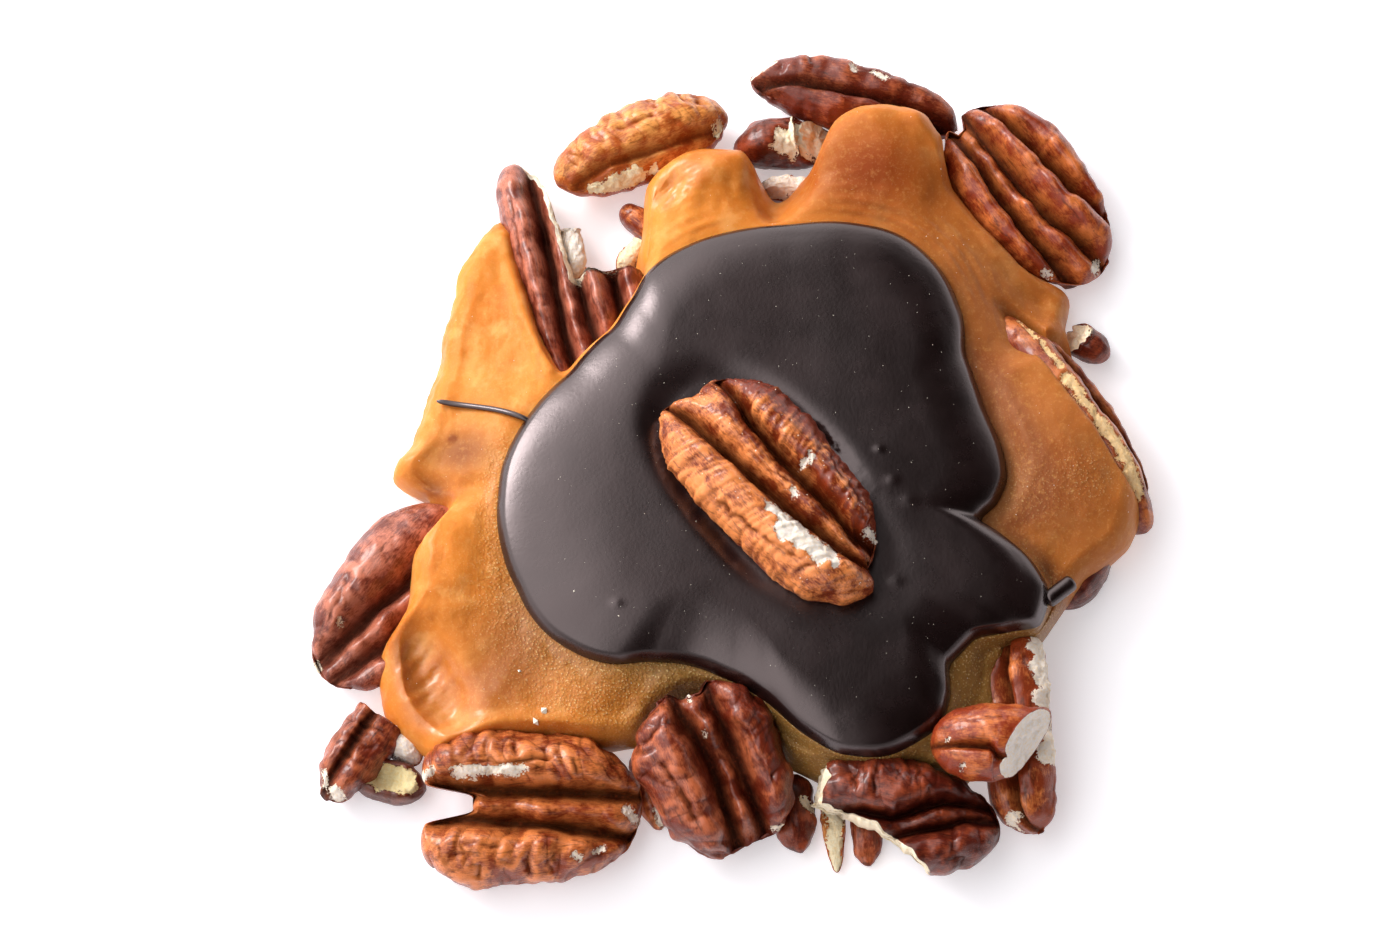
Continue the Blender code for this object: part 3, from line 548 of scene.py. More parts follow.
bits = {
    "pecan_right_low": dict(at=(38.4, -10.1, 2.2), size=(9.6, 5.6, 5.2), turn=(52, 0, 0), skin="deep"),
    "pecan_right_bit": dict(
        at=(39.6, 17.5, 1.7), size=(6.4, 3.8, 3.8), turn=(-30, 0, 0), base=-0.4, skin="deep", slant=-0.7,
        jag=0.4,
        chips=((((-1.4, 0.0), (-0.6, 0.4)), 1.0),),
    ),
    "pecan_back_chunk": dict(
        at=(5.8, 41.7, 2.8), size=(12.0, 5.8, 6.6), turn=(186, 0, 0), base=-0.7, skin="deep", slant=-0.8,
        jag=0.5, tone=0.1,
        creases=((((-2.6, 1.8), (-2.0, -1.0)), 0.35, 0.5), (((0.2, -1.4), (-2.0, -0.6)), 0.3, 0.4)),
        chips=((((-4.0, 0.5), (-1.8, 0.4)), 2.0), (((-0.4, 1.2), (0.4, 1.0)), 1.3)),
    ),
    "pecan_back_shard": dict(
        at=(6.6, 36.2, 2.3), size=(7.6, 3.2, 4.4), turn=(-10, 0, 0), skin="red",
        chips=((((-3.4, 0.0), (0.0, -0.2), (2.4, -0.4)), 1.9),),
    ),
    "pecan_bit_back": dict(
        at=(-10.9, 32.1, 1.7), size=(5.8, 3.0, 3.8), turn=(-42, 0, 0), skin="warm", tone=-0.1,
    ),
    "pecan_bit_pale": dict(
        at=(-11.6, 28.4, 1.6), size=(5.4, 2.8, 3.6), turn=(52, 0, 0), tip=0.5, skin="golden",
        chips=((((-2.4, 0.0), (2.0, 0.0)), 1.4),),
    ),
    "pecan_bit_front": dict(
        at=(-9.7, -34.7, 1.3), size=(9.6, 3.0, 2.8), turn=(-74, 0, 0), skin="tan",
        chips=((((2.0, 0.6), (4.0, 0.4)), 0.5),),
    ),
    "pecan_bit_dark": dict(
        at=(6.3, -37.5, 1.4), size=(9.0, 4.6, 3.0), turn=(-82, 0, 0), skin="deep",
        chips=((((-1.0, 1.4), (0.0, 1.8)), 0.5),),
    ),
    "pecan_bit_shard": dict(
        at=(10.6, -38.8, 1.0), size=(10.4, 2.6, 1.7), turn=(-87, 0, 0), skin="golden",
        chips=((((-5.0, 0.0), (5.0, 0.0)), 1.1),),
    ),
    "pecan_bit_last": dict(at=(14.2, -38.9, 1.0), size=(8.8, 3.6, 1.7), turn=(-88, 0, 0), skin="red"),
}
# Parts of the broken pecans at the corner and at the back left, and the nodes that they stand for.
cornerParts = {
    "cornerCup": dict(
        at=(-37.7, -34.1, 2.0), size=(8.0, 4.8, 4.6), turn=(-14, 0, 0), skin="cup", grid=(90, 100),
        hollow=1.9,
        chips=((((-1.8, 0.0), (1.8, 0.0)), 1.35),),
    ),
    "cornerFlesh": dict(
        at=(-36.8, -29.6, 1.8), size=(6.4, 3.4, 4.2), turn=(-50, 0, 0), skin="warm", grid=(70, 80),
        chips=((((-2.6, 0.0), (2.6, 0.0)), 1.6),),
    ),
    "leftFlake": dict(
        at=(-18.9, 28.6, 3.2), size=(8.0, 3.4, 4.2), turn=(-78, 0, -15), skin="warm", grid=(70, 80),
        base=-0.5, slant=-0.3, jag=0.4,
        chips=((((-4.0, 0.0), (4.0, 0.0)), 2.2),),
    ),
}
partOf = {"cornerCup": "pecan_corner", "cornerFlesh": "pecan_corner", "leftFlake": "pecan_left_back"}

pecanForm = {
    "tip": 1.0, "base": -1.0, "lean": 0.0, "slant": 0.0, "skew": 0.0, "jag": 0.0,
    "notch": 0.0, "lobeEnd": 0.0, "tipCut": (), "bulge": 0.0, "hollow": 0.0,
    "ragged": 0.10, "brokenSoft": 0.05, "rim": (), "grooves": (), "creases": (), "chips": (),
    "backShare": 0.62,  # part of the height above the widest line
    "backSquare": 2.6, "bellySquare": 3.0,  # how square the section is above and below it
    "blunt": 2.6, "baseBlunt": 0.0, "endRound": 0.55, "taper": 0.10,
    "grooveWidth": 1.05, "grooveDepth": 0.62, "shoulder": 2.2,  # millimetres, share of the back, millimetres
    "slitWidth": 0.4, "slitDepth": 0.10,  # the bottom of a groove
    "ridgeDrop": 0.06,  # how much lower the middle ridge is than the lobes
    "wrinkle": 1.0, "lump": 0.2, "rib": 0.07, "ribSize": (1.8, 4.6, 4.6), "crackShade": 1.0,
    # sideShade is painted light: how much lighter one side of a pecan is than the other.
    "tone": 0.0, "sideShade": 0.0, "capFlesh": 1.0, "capRows": 16, "grid": (90, 110),
}


def plan(form):
    # Turn matrix of a pecan's own axes.
    yaw, pitch, roll = np.radians(form["turn"])
    return np.array(Matrix.Rotation(yaw, 3, "Z") @ Euler((roll, pitch, 0.0)).to_matrix())


def stations(form):
    # Places of the sections from base to tip, closer together at the ends, and how far each section is
    # drawn in: 1 on the body, falling to 0 over the flat cap of a broken end.
    rows, columns = form["grid"]
    tip, base = form["tip"], form["base"]
    station = np.cos(np.linspace(np.arccos(base), np.arccos(tip), rows))
    inwards = np.ones(rows)
    cap = np.sin(np.linspace(0.0, 0.5 * np.pi, form["capRows"], endpoint=False))
    if base > -1.0:
        station = np.concatenate((np.full(len(cap), base), station))
        inwards = np.concatenate((cap, inwards))
    if tip < 1.0:
        station = np.concatenate((station, np.full(len(cap), tip)))
        inwards = np.concatenate((inwards, cap[::-1]))
    around = np.linspace(0.0, 2.0 * np.pi, columns, endpoint=False)
    station, around = np.meshgrid(station, around, indexing="ij")
    return station, np.repeat(inwards[:, None], columns, axis=1), around


def brokenFlank(form, x, station, side, seed):
    # A flank that has come off: lateral shares beyond a ragged line are drawn back to it. Also gives how
    # bare the flesh is there, 0 to 1.
    which, start, stop, left = form["broken"]
    kept = np.interp(x, *np.array(left, float).T) if isinstance(left, tuple) else left
    ragged = kept + form["ragged"] * layeredNoise(together(x, 0.0, 0.0), 1.7, seed + 5, 2)
    soft = form["brokenSoft"]
    gone = fade(stop + soft, stop - soft, station) * fade(start - 0.1, start, station)
    beyond = which * (side - ragged)
    keep = np.where(beyond > 0.0, ragged + 0.06 * (side - ragged), side)
    return side + (keep - side) * gone, fade(0.02, 0.07, beyond) * gone


def cutGrooves(form, x, y, flat, seed):
    # The distance from each groove, the share of the back that they take off, which is the sum of
    # depth x exp(-(gap / width)^1.4), and how far inside a groove each point is, 0 to 1.
    lengthwise = together(x, 0.0, 0.0)
    wander = 0.18 * noise(flat, (4.0, 60.0, 60.0), seed)
    gaps, lower, cavity = [], np.zeros_like(x), np.zeros_like(x)
    for k, line in enumerate(form["grooves"]):
        gap = y - np.interp(x, *np.array(line, float).T) - wander
        gaps.append(gap)
        wide = form["grooveWidth"] * (1.0 + 0.38 * noise(lengthwise, 3.4, seed + 11 + k))
        deep = 1.0 + 0.25 * noise(lengthwise, 4.2, seed + 15 + k)
        lower += deep * form["grooveDepth"] * bump(gap, wide, 1.4) + 0.07 * bump(gap, form["shoulder"])
        lower += form["slitDepth"] * bump(gap, form["slitWidth"], 3.0)
        # Painted shade with the groove's dark pith: the skin darkens along each groove.
        cavity = np.maximum(cavity, 0.95 * bump(gap, 0.72 * wide, 1.9))
    return gaps, lower, cavity


def pecanRelief(form, grid, shape, masks, seed):
    # Soft dents and lumps, ribs and wrinkles across the lobes, a scalloped flank, creases, chips and the
    # rough flesh of broken ends. Also fills in the material's masks: cavity, tone and flesh, 0 to 1.
    x, y, z = np.moveaxis(grid, -1, 0)
    station, side, sine = shape["station"], shape["side"], shape["sine"]
    inwards, flat = shape["inwards"], shape["flat"]
    cavity, flesh = masks["cavity"], masks["flesh"]
    isBack, lateral = sine >= 0.0, np.abs(side)
    nearest = np.min(np.abs(shape["gaps"]), axis=0) if shape["gaps"] else np.full_like(x, 9.0)
    lobes = np.where(isBack, shape["onLobe"] * fade(0.3, 1.2, nearest), 0.7)
    dent = noise(grid, (4.2, 7.0, 7.0), seed + 10)
    lump = noise(grid, (2.6, 3.2, 3.2), seed + 20)
    where = fade(-0.1, 0.5, noise(grid, 4.5, seed + 25))
    crease = furrows(grid, (3.2, 7.0, 7.0), seed + 30, 0.16) * where
    slanted = together(x + 0.35 * np.abs(y), y, z)
    wave = np.abs(noise(slanted, form["ribSize"], seed + 35))
    rib = (2.6 * wave - 0.6) * (0.7 + 0.6 * noise(grid, 5.0, seed + 36))
    fine = layeredNoise(grid, 1.1, seed + 40)
    striae = noise(grid, (5.0, 0.55, 0.55), seed + 45)
    amount = form["wrinkle"]
    folds = 0.26 * dent + form["lump"] * lump - 0.13 * crease + form["rib"] * rib
    scallop = fade(0.55, 0.95, lateral) * noise(grid, (1.7, 3.0, 3.0), seed + 55)
    relief = lobes * amount * folds + 0.045 * fine + 0.03 * striae + 0.20 * amount * scallop
    # Painted highlight: tone rises where dents, lumps and ribs rise, so the crests are lighter.
    tone = 0.30 + form["tone"] + lobes * (0.26 * dent + 0.40 * lump + 0.30 * rib) + 0.12 * scallop
    # Painted light: one side of the pecan lighter and the other darker, as the light falls across it.
    tone = tone + form["sideShade"] * y / (0.5 * form["size"][1])
    # Darker towards the flanks and on the underside.
    tone = tone - 0.3 * fade(0.45, 0.95, lateral) - 0.6 * (1.0 - isBack) * fade(0.0, -0.3, sine)
    # Painted shade with real dark crack lines: the skin darkens in the creases and in the rib troughs.
    crackLinesAndShade = 0.35 * crease + 3.0 * form["rib"] * fade(0.09, 0.0, wave)
    cavity = np.maximum(cavity, form["crackShade"] * crackLinesAndShade * lobes * amount)
    windingX = x + 0.35 * noise(flat, 1.7, seed + 61)
    windingY = y + 0.35 * noise(flat, 1.7, seed + 62)
    uneven = 0.65 + 0.5 * noise(flat, 1.5, seed + 63)
    for line, wide, deep in form["creases"]:
        apart, along = lineDistance(windingX, windingY, line)
        depth = deep * uneven * fade(0.0, 0.22, along) * fade(1.0, 0.78, along) * isBack
        relief -= depth * (0.75 * bump(apart, wide, 1.4) + 0.35 * bump(apart, 3.0 * wide))
        # Painted shade along each crease, on top of its dent.
        cavity = np.maximum(cavity, (1.8 * depth).clip(0.0, 0.85) * bump(apart, 0.7 * wide, 1.6))
        # Painted highlight along the raised edge beside each crease.
        tone = tone + 0.4 * bump(apart - 1.7 * wide, 0.9 * wide) * isBack
    frayed = 1.0 + 0.55 * layeredNoise(flat, 1.3, seed + 70, 2)
    for line, wide in form["chips"]:
        apart = lineDistance(x, y, line)[0] - wide * frayed
        flesh = np.maximum(flesh, (0.5 - apart / 0.9).clip(0.0, 1.0) * isBack)
        relief -= 0.20 * fade(0.12, -0.12, apart) * isBack
    if form["rim"]:
        # Bare flesh along an edge: side, from, to, share of the half width where it starts.
        which, start, stop, reach = form["rim"]
        bare = fade(reach - 0.08, reach + 0.02, which * side + 0.06 * layeredNoise(flat, 1.5, seed + 72, 2))
        bare = bare * fade(start - 0.08, start, station) * fade(stop + 0.08, stop, station)
        bare = bare * fade(-0.6, -0.4, sine)
        flesh = np.maximum(flesh, bare)
        relief += 0.25 * bare * layeredNoise(grid, 1.2, seed + 74)
    rough = 0.30 * form["capFlesh"] * layeredNoise(grid, 1.5, seed + 50) * (1.0 - inwards**6)
    relief = np.where(inwards < 1.0, rough, relief) + 0.10 * flesh * layeredNoise(grid, 0.8, seed + 80)
    masks.update({"cavity": cavity.clip(0, 1), "tone": tone, "flesh": flesh})
    return relief


def pecanGrid(spec, seed):
    # Sections along X: y = half width x lateral share, z = height x (1 - |share|^square)^0.5 above and
    # below, all shrunk towards the ends by (1 - |station|^blunt)^0.55. The back is lowered along each
    # groove, which leaves two arched lobes and a ridge, and the relief is added along the normals.
    form = {**pecanForm, **spec}
    length, width, height = form["size"]
    tip, base = form["tip"], form["base"]
    station, inwards, around = stations(form)
    side, sine = np.cos(around), np.sin(around)
    isBack = sine >= 0.0
    exponent = np.where(station < 0.0, form["baseBlunt"] or form["blunt"], form["blunt"])
    body = (1.0 - np.abs(station) ** exponent).clip(0.0) ** form["endRound"]
    leaning = form["lean"] * fade(0.2, -0.9, station)
    flesh = np.where(inwards < 1.0, form["capFlesh"] * fade(1.0, 0.94, inwards), 0.0)
    x = 0.5 * length * station
    half = 0.5 * width * (1.0 - form["taper"] * station)
    if "broken" in form:
        side, bare = brokenFlank(form, x, station, side, seed)
        flesh = np.maximum(flesh, bare)
    y = half * (leaning + (side - leaning) * body)
    lateral = np.abs(side)
    back = np.sqrt((1.0 - lateral ** form["backSquare"]).clip(0.0))
    belly = np.sqrt((1.0 - lateral ** form["bellySquare"]).clip(0.0))
    flat = together(x, y, 0.0)
    gaps, lower, cavity = cutGrooves(form, x, y, flat, seed)
    onLobe = np.ones_like(x)
    across = half * leaning + (y - half * leaning) * inwards
    if len(gaps) >= 2:
        low, high = (gaps[0], gaps[1]) if gaps[0].mean() > gaps[1].mean() else (gaps[1], gaps[0])
        ridge = fade(0.2, 1.3, low) * fade(-0.2, -1.3, high)
        lower += form["ridgeDrop"] * ridge
        onLobe -= 0.6 * ridge
        fromRidge = across - y + 0.5 * (low + high)
        inNotch = 1.0 - fade(0.5, 1.25, np.abs(fromRidge) / (0.5 * np.abs(low - high)))
        x = x + form["notch"] * fade(-0.5, base, station) * inNotch
        fromLobe = ((np.abs(fromRidge) - 0.56 * half) / (0.48 * half)).clip(-0.98, 0.98)
        x = x + form["lobeEnd"] * fade(-0.3, base, station) * (1.0 - np.sqrt(1.0 - fromLobe**2))
    if form["tipCut"]:
        first, last, amount = form["tipCut"]  # a lobe that ends short of the tip
        x = x - amount * fade(0.2, 0.95, station) * fade(first, last, side)
    x = x - form["bulge"] * np.sqrt(1.0 - inwards**2) * (station < 0.0)
    backHeight = form["backShare"] * height * body
    arch = back - np.minimum(lower, 0.85) * fade(0.0, 0.25, back)
    z = np.where(isBack, backHeight * arch, (backHeight - height * body) * belly)
    z -= form["hollow"] * isBack * bump(np.hypot(x / (0.3 * length), y / (0.3 * width)), 1.0, 3.0)
    y = across
    z0 = 0.1 * height * body
    z = z0 + (z - z0) * inwards
    if form["slant"] or form["jag"] or form["skew"]:
        edge = tip if tip < 1.0 else base
        near = fade(0.55, 0.0, np.abs(station - edge))
        ring = together(4.0 * np.cos(around), 4.0 * sine, 0.0)
        x = x - near * (form["slant"] * z - form["skew"] * y)
        x = x + near * form["jag"] * inwards * noise(ring, 1.4, seed + 6)
    grid = together(x, y, z)
    shape = dict(station=station, side=side, sine=sine, inwards=inwards)
    shape.update(flat=flat, gaps=gaps, onLobe=onLobe)
    masks = {"cavity": cavity * isBack, "tone": 0.0, "flesh": flesh}
    relief = pecanRelief(form, grid, shape, masks, seed)
    grid = grid + outward(grid) * relief[..., None]
    masks["local"] = grid.copy()
    return grid @ plan(form).T + np.array(form["at"]), masks


def makePecans():
    # Every pecan and bit as a closed skin. Gives the middle pecan's points for the dust on it.
    materials = {name: makePecanMaterial(name + "Pecan", skin) for name, skin in skins.items()}
    for index, (node, spec) in enumerate({**pecans, **bits, **cornerParts}.items()):
        grid, masks = pecanGrid(spec, 100 * index)
        grid[..., 2] = np.maximum(grid[..., 2], 0.02)
        name = "".join(word.capitalize() if k else word for k, word in enumerate(node.split("_")))
        closedSkin(name, grid, masks, materials[spec["skin"]], partOf.get(node, node))
        if node == "pecan_centre":
            top = grid
    print("pecans", len(pecans), "bits", len(bits) + len(cornerParts))
    return top


# The two puddles. Outlines are rows of angle, distance from the middle and, for the caramel, the height
# of its top just inside the edge. A spot is a strength, a place, two half widths and, where it needs
# them, a direction and a squareness.
middle = (1.0, -2.0)
caramelForm = {
    "outline": (
        (2, 44.2, 9.0), (12, 42.8, 9.6), (23, 40.8, 9.6), (29, 41.6, 6.5), (34, 44.2, 5.5),
        (39, 43.2, 6.5), (47, 43.0, 7.6), (56, 43.8, 8.6), (62, 48.2, 9.6), (68, 49.8, 9.8),
        (73, 48.8, 9.8), (76.5, 46.4, 9.4), (79, 40.4, 8.0), (84, 36.2, 6.8), (91, 41.4, 8.6),
        (98, 41.8, 8.6), (106, 39.6, 8.0), (111, 33.0, 6.8), (117, 28.6, 6.2), (124, 36.0, 5.6),
        (129, 44.0, 5.4), (136, 43.2, 5.8), (146, 40.2, 6.2), (158, 37.8, 6.4), (169, 37.8, 6.2),
        (176, 39.6, 5.6), (181, 35.2, 7.4), (190, 37.2, 9.4), (199, 39.4, 9.4), (206, 44.6, 8.0),
        (214, 46.6, 7.6), (221, 45.8, 7.4), (226, 40.0, 7.8), (236, 35.8, 8.2), (246, 31.5, 7.6),
        (256, 28.4, 7.0), (270, 28.0, 7.0), (279, 31.2, 7.0), (287, 34.6, 8.0), (297, 37.0, 8.0),
        (306, 40.6, 7.4), (315, 39.0, 7.4), (325, 35.4, 7.4), (335, 36.8, 7.6), (345, 39.0, 7.6),
        (353, 43.2, 8.4),
    ),
    "innerHeight": 9.3, "dishHeight": 8.2, "dishFlank": (0.2, 0.9),
    "roll": 3.0, "narrowRoll": 0.6, "widest": 0.45, "swellingFade": 3.0,
    "swellings": (
        (2.4, (36.4, -0.5), (11.0, 6.5), -62), (2.4, (17.2, 38.5), (6.5, 6.0)),
        (2.0, (-2.0, 36.0), (7.0, 3.4), 12), (-2.7, (-33.4, -24.0), (6.2, 3.3), -58, 2.0),
        (0.9, (-38.2, -22.4), (6.0, 1.5), -72), (0.5, (-33.0, -17.0), (4.0, 1.3), 10),
        (-1.9, (-33.6, -1.2), (2.2, 1.2), -25), (0.8, (-37.0, 2.6), (2.4, 2.4)),
        (0.5, (-31.0, -12.0), (3.0, 8.0), 12), (-2.2, (6.6, 35.0), (3.6, 2.4)),
        (1.5, (21.4, 41.0), (2.0, 1.6), -20), (0.9, (15.6, 42.2), (3.0, 2.4)),
    ),
    "strands": ((0.13, (20.0, 27.0), (10.0, 4.0), -35), (0.06, (-5.0, 27.5), (4.0, 2.5), 30)),
    "crinkles": ((0.30, (-0.5, 32.6), (4.0, 2.2), -10),),
    "lipDent": ((0.9, (-7.6, 33.6), (2.2, 1.5), 20),),
    "lipRough": ((0.22, (-7.0, 33.4), (3.0, 2.2), 20),),
    "craterStreaks": ((0.24, (-33.2, -24.6), (6.4, 3.4), -58, 2.0),),
    "grainy": (
        (0.3, (31.5, -4.0), (3.2, 3.6)), (0.6, (38.5, -2.0), (3.0, 3.0)), (0.8, (-14.0, -27.0), (10.0, 3.0)),
    ),
    "wet": (
        (1.4, (-33.2, -24.6), (6.4, 3.4), -58, 2.0), (1.0, (-7.6, 33.6), (3.4, 2.2), 20),
        (0.8, (0.0, 35.0), (6.0, 1.6), -10), (0.7, (-29.0, -26.0), (8.0, 3.0), 20),
        (0.5, (-36.6, 2.6), (2.0, 2.0)),
    ),
    "red": (
        (1.0, (15.0, 35.0), (9.0, 7.0)), (0.3, (36.0, -2.0), (9.0, 15.0), 20),
        (2.5, (-31.5, 4.1), (0.42, 0.36)),
    ),
    # Mostly painted shade, with some brown caramel: under the wing's fold, in the crater's left wall, beside
    # the chocolate and over the dimmer right side.
    "brownAndShade": (
        (0.75, (27.0, 22.0), (11.0, 12.0)), (0.9, (-33.6, -1.6), (2.4, 1.1), -25),
        (1.0, (-30.4, 2.2), (4.2, 3.4)), (0.75, (36.0, -2.0), (9.0, 15.0), 20),
        (0.75, (-24.0, -21.0), (6.0, 7.0)), (0.6, (31.5, -4.0), (3.2, 3.6)),
        (0.55, (-35.6, -22.6), (4.6, 1.5), -62),
    ),
    # Pecans that lie open in the caramel: how deep the caramel dips there, and for some of them the
    # local side and place from which on it does.
    "open": {
        "pecan_left_back": (3.0, 1, -9.0), "pecan_front_left": (3.5, 1, -99.0),
        "pecan_front_middle": (5.0, 1, -99.0), "pecan_front_right": (3.5, 1, -99.0),
        "pecan_back_right": (3.5, 1, -99.0), "pecan_right": (3.0, 1, 0.9),
        "pecan_right_front": (3.0, 1, -1.5), "pecan_back_left": (4.5, -1, -99.0),
        "pecan_left_front": (2.0, -1, 1.0),
    },
    "meniscus": (0.75, 0.9, 0.4),  # offset, width and height where it wets a pecan
    "columns": 620,
}
chocolateForm = {
    "outline": (
        (2, 28.8), (18, 28.0), (30, 28.6), (40, 31.6), (51, 33.8), (59, 34.3), (69, 33.3), (80, 31.4),
        (91, 30.2), (103, 29.0), (113, 27.4), (121, 25.0), (131, 23.4), (144, 23.4), (158, 24.8),
        (172, 26.5), (185, 27.4), (200, 27.9), (215, 28.0), (226, 27.1), (235, 25.6), (244, 23.0),
        (254, 22.0), (266, 23.0), (275, 25.4), (282, 29.4), (289, 32.9), (298, 34.9), (306, 34.9),
        (311, 33.3), (317, 30.5), (323, 30.7), (329, 33.6), (333, 36.0), (338, 35.6), (343, 33.0),
        (347, 29.2), (350, 26.3), (355, 27.8),
    ),
    "thick": 3.3, "roll": 1.1, "rimHeight": 0.7, "sink": 0.3, "dome": 0.5,
    "edgeWidth": (7.5, 15.0), "wideFlank": (3.25, 0.75),  # the flank is wide about this angle, in radians
    "moat": (1.35, -0.6),  # width and depth
    "torn": ((1.0, (12.4, 1.4), (5.5, 3.5), -50),),
    "bumps": (
        (0.1, (17.0, -3.0), (0.7, 0.56)), (0.1, (18.8, -5.4), (0.9, 0.72)), (0.1, (15.6, 0.6), (0.5, 0.4)),
        (0.07, (17.2, -14.5), (0.8, 0.64)), (0.09, (-13.0, -17.0), (0.6, 0.48)),
    ),
    # The drawn threads: start, end, radius and sideways bend.
    "threads": {
        "chocolateThread": ((-33.4, 8.5), (-22.6, 4.9), 0.33, 0.45),
        "chocolateStub": ((33.6, -15.9), (36.7, -13.5), 0.95, 0.0),
    },
    "columns": 540,
}


def caramelEdge(angles):
    # Distance of the caramel's edge, height inside it, roundness, and distance of the chocolate's edge.
    outline, height = np.moveaxis(closedCurve(caramelForm["outline"], angles), -1, 0)
    cover = closedCurve(chocolateForm["outline"], angles)[..., 0]
    roll = np.minimum(caramelForm["roll"], caramelForm["narrowRoll"] * (outline - cover))
    return outline, height, roll, cover


def blob(x, y, strength, at, size, direction=0.0, square=1.0):
    # strength x exp(-((along / a)^2 + (across / b)^2)^square) about a place, turned by a direction.
    turn = np.radians(direction)
    along = (x - at[0]) * np.cos(turn) + (y - at[1]) * np.sin(turn)
    across = (y - at[1]) * np.cos(turn) - (x - at[0]) * np.sin(turn)
    return strength * np.exp(-(((along / size[0]) ** 2 + (across / size[1]) ** 2) ** square))


def spots(x, y, rows):
    # The sum of a blob for each row.
    return sum(blob(x, y, *row) for row in rows)


def outsidePecan(x, y, form):
    # Rough plan distance outside a pecan's outline, read as a squarish ellipse, and its local y.
    turn = np.radians(form["turn"][0])
    along = (x - form["at"][0]) * np.cos(turn) + (y - form["at"][1]) * np.sin(turn)
    across = (y - form["at"][1]) * np.cos(turn) - (x - form["at"][0]) * np.sin(turn)
    halfLong, halfWide = form["size"][0] / 2.0, form["size"][1] / 2.0
    share = (np.abs(along / halfLong) ** 2.4 + np.abs(across / halfWide) ** 2.4) ** (1.0 / 2.4)
    return (share - 1.0) * halfWide, across


def caramelTop(x, y, plain=False):
    # A shallow dish under the chocolate, then a slope to the edge height, with swellings. It dips under
    # the open pecans and climbs a little where it wets them.
    form = caramelForm
    away = np.hypot(x - middle[0], y - middle[1])
    outline, height, roll, cover = caramelEdge(np.arctan2(y - middle[1], x - middle[0]))
    inner, dish = form["innerHeight"], form["dishHeight"]
    top = dish + (inner - dish) * fade(*form["dishFlank"], away / cover)
    top = top + (height - inner) * fade(0.0, 1.0, (away - cover) / (outline - roll - cover))
    top = top + fade(0.0, form["swellingFade"], away - cover) * spots(x, y, form["swellings"])
    if plain:
        return top
    offset, wide, rise = form["meniscus"]
    for node, (low, way, start) in form["open"].items():
        gap, across = outsidePecan(x, y, pecans[node])
        part = fade(start - 0.8, start + 0.8, way * across)
        dip = fade(0.5, -1.2, gap) * part * fade(0.0, 2.0, away - cover)
        top = top - dip * np.maximum(top - low, 0.0)
        top = top + rise * bump(gap - offset, wide) * part * (1.0 - dip) * fade(0.0, 2.0, away - cover)
    return top


def caramelMasks(x, y, beside, inside, grainy):
    # Where the caramel is grainy, wet or darker, 0 to 1: the form's spots, and bands along the chocolate's
    # edge (beside) and along its own edge (inside). The darker places are brown caramel and painted shade.
    form = caramelForm
    wingEdge = fade(4.5, 2.0, inside) * fade(0.0, -3.0, y) * fade(-16.0, -12.0, y) * fade(-26.0, -30.0, x)
    wet = spots(x, y, form["wet"]) + 0.45 * grainy + 0.35 * wingEdge
    olive = fade(-12.0, -26.0, y) * fade(-24.0, 0.0, x)
    olive = olive + 0.35 * fade(4.5, 0.0, beside) * fade(10.0, -10.0, y)
    shaded = 0.9 * fade(6.0, 0.0, beside) * fade(14.0, 26.0, x) * fade(18.0, 8.0, y)
    red, brownAndShade = spots(x, y, form["red"]), spots(x, y, form["brownAndShade"]) + shaded
    masks = {"grainy": grainy, "wet": wet, "olive": olive, "red": red, "brownAndShade": brownAndShade}
    return {label: values.clip(0, 1) for label, values in masks.items()}


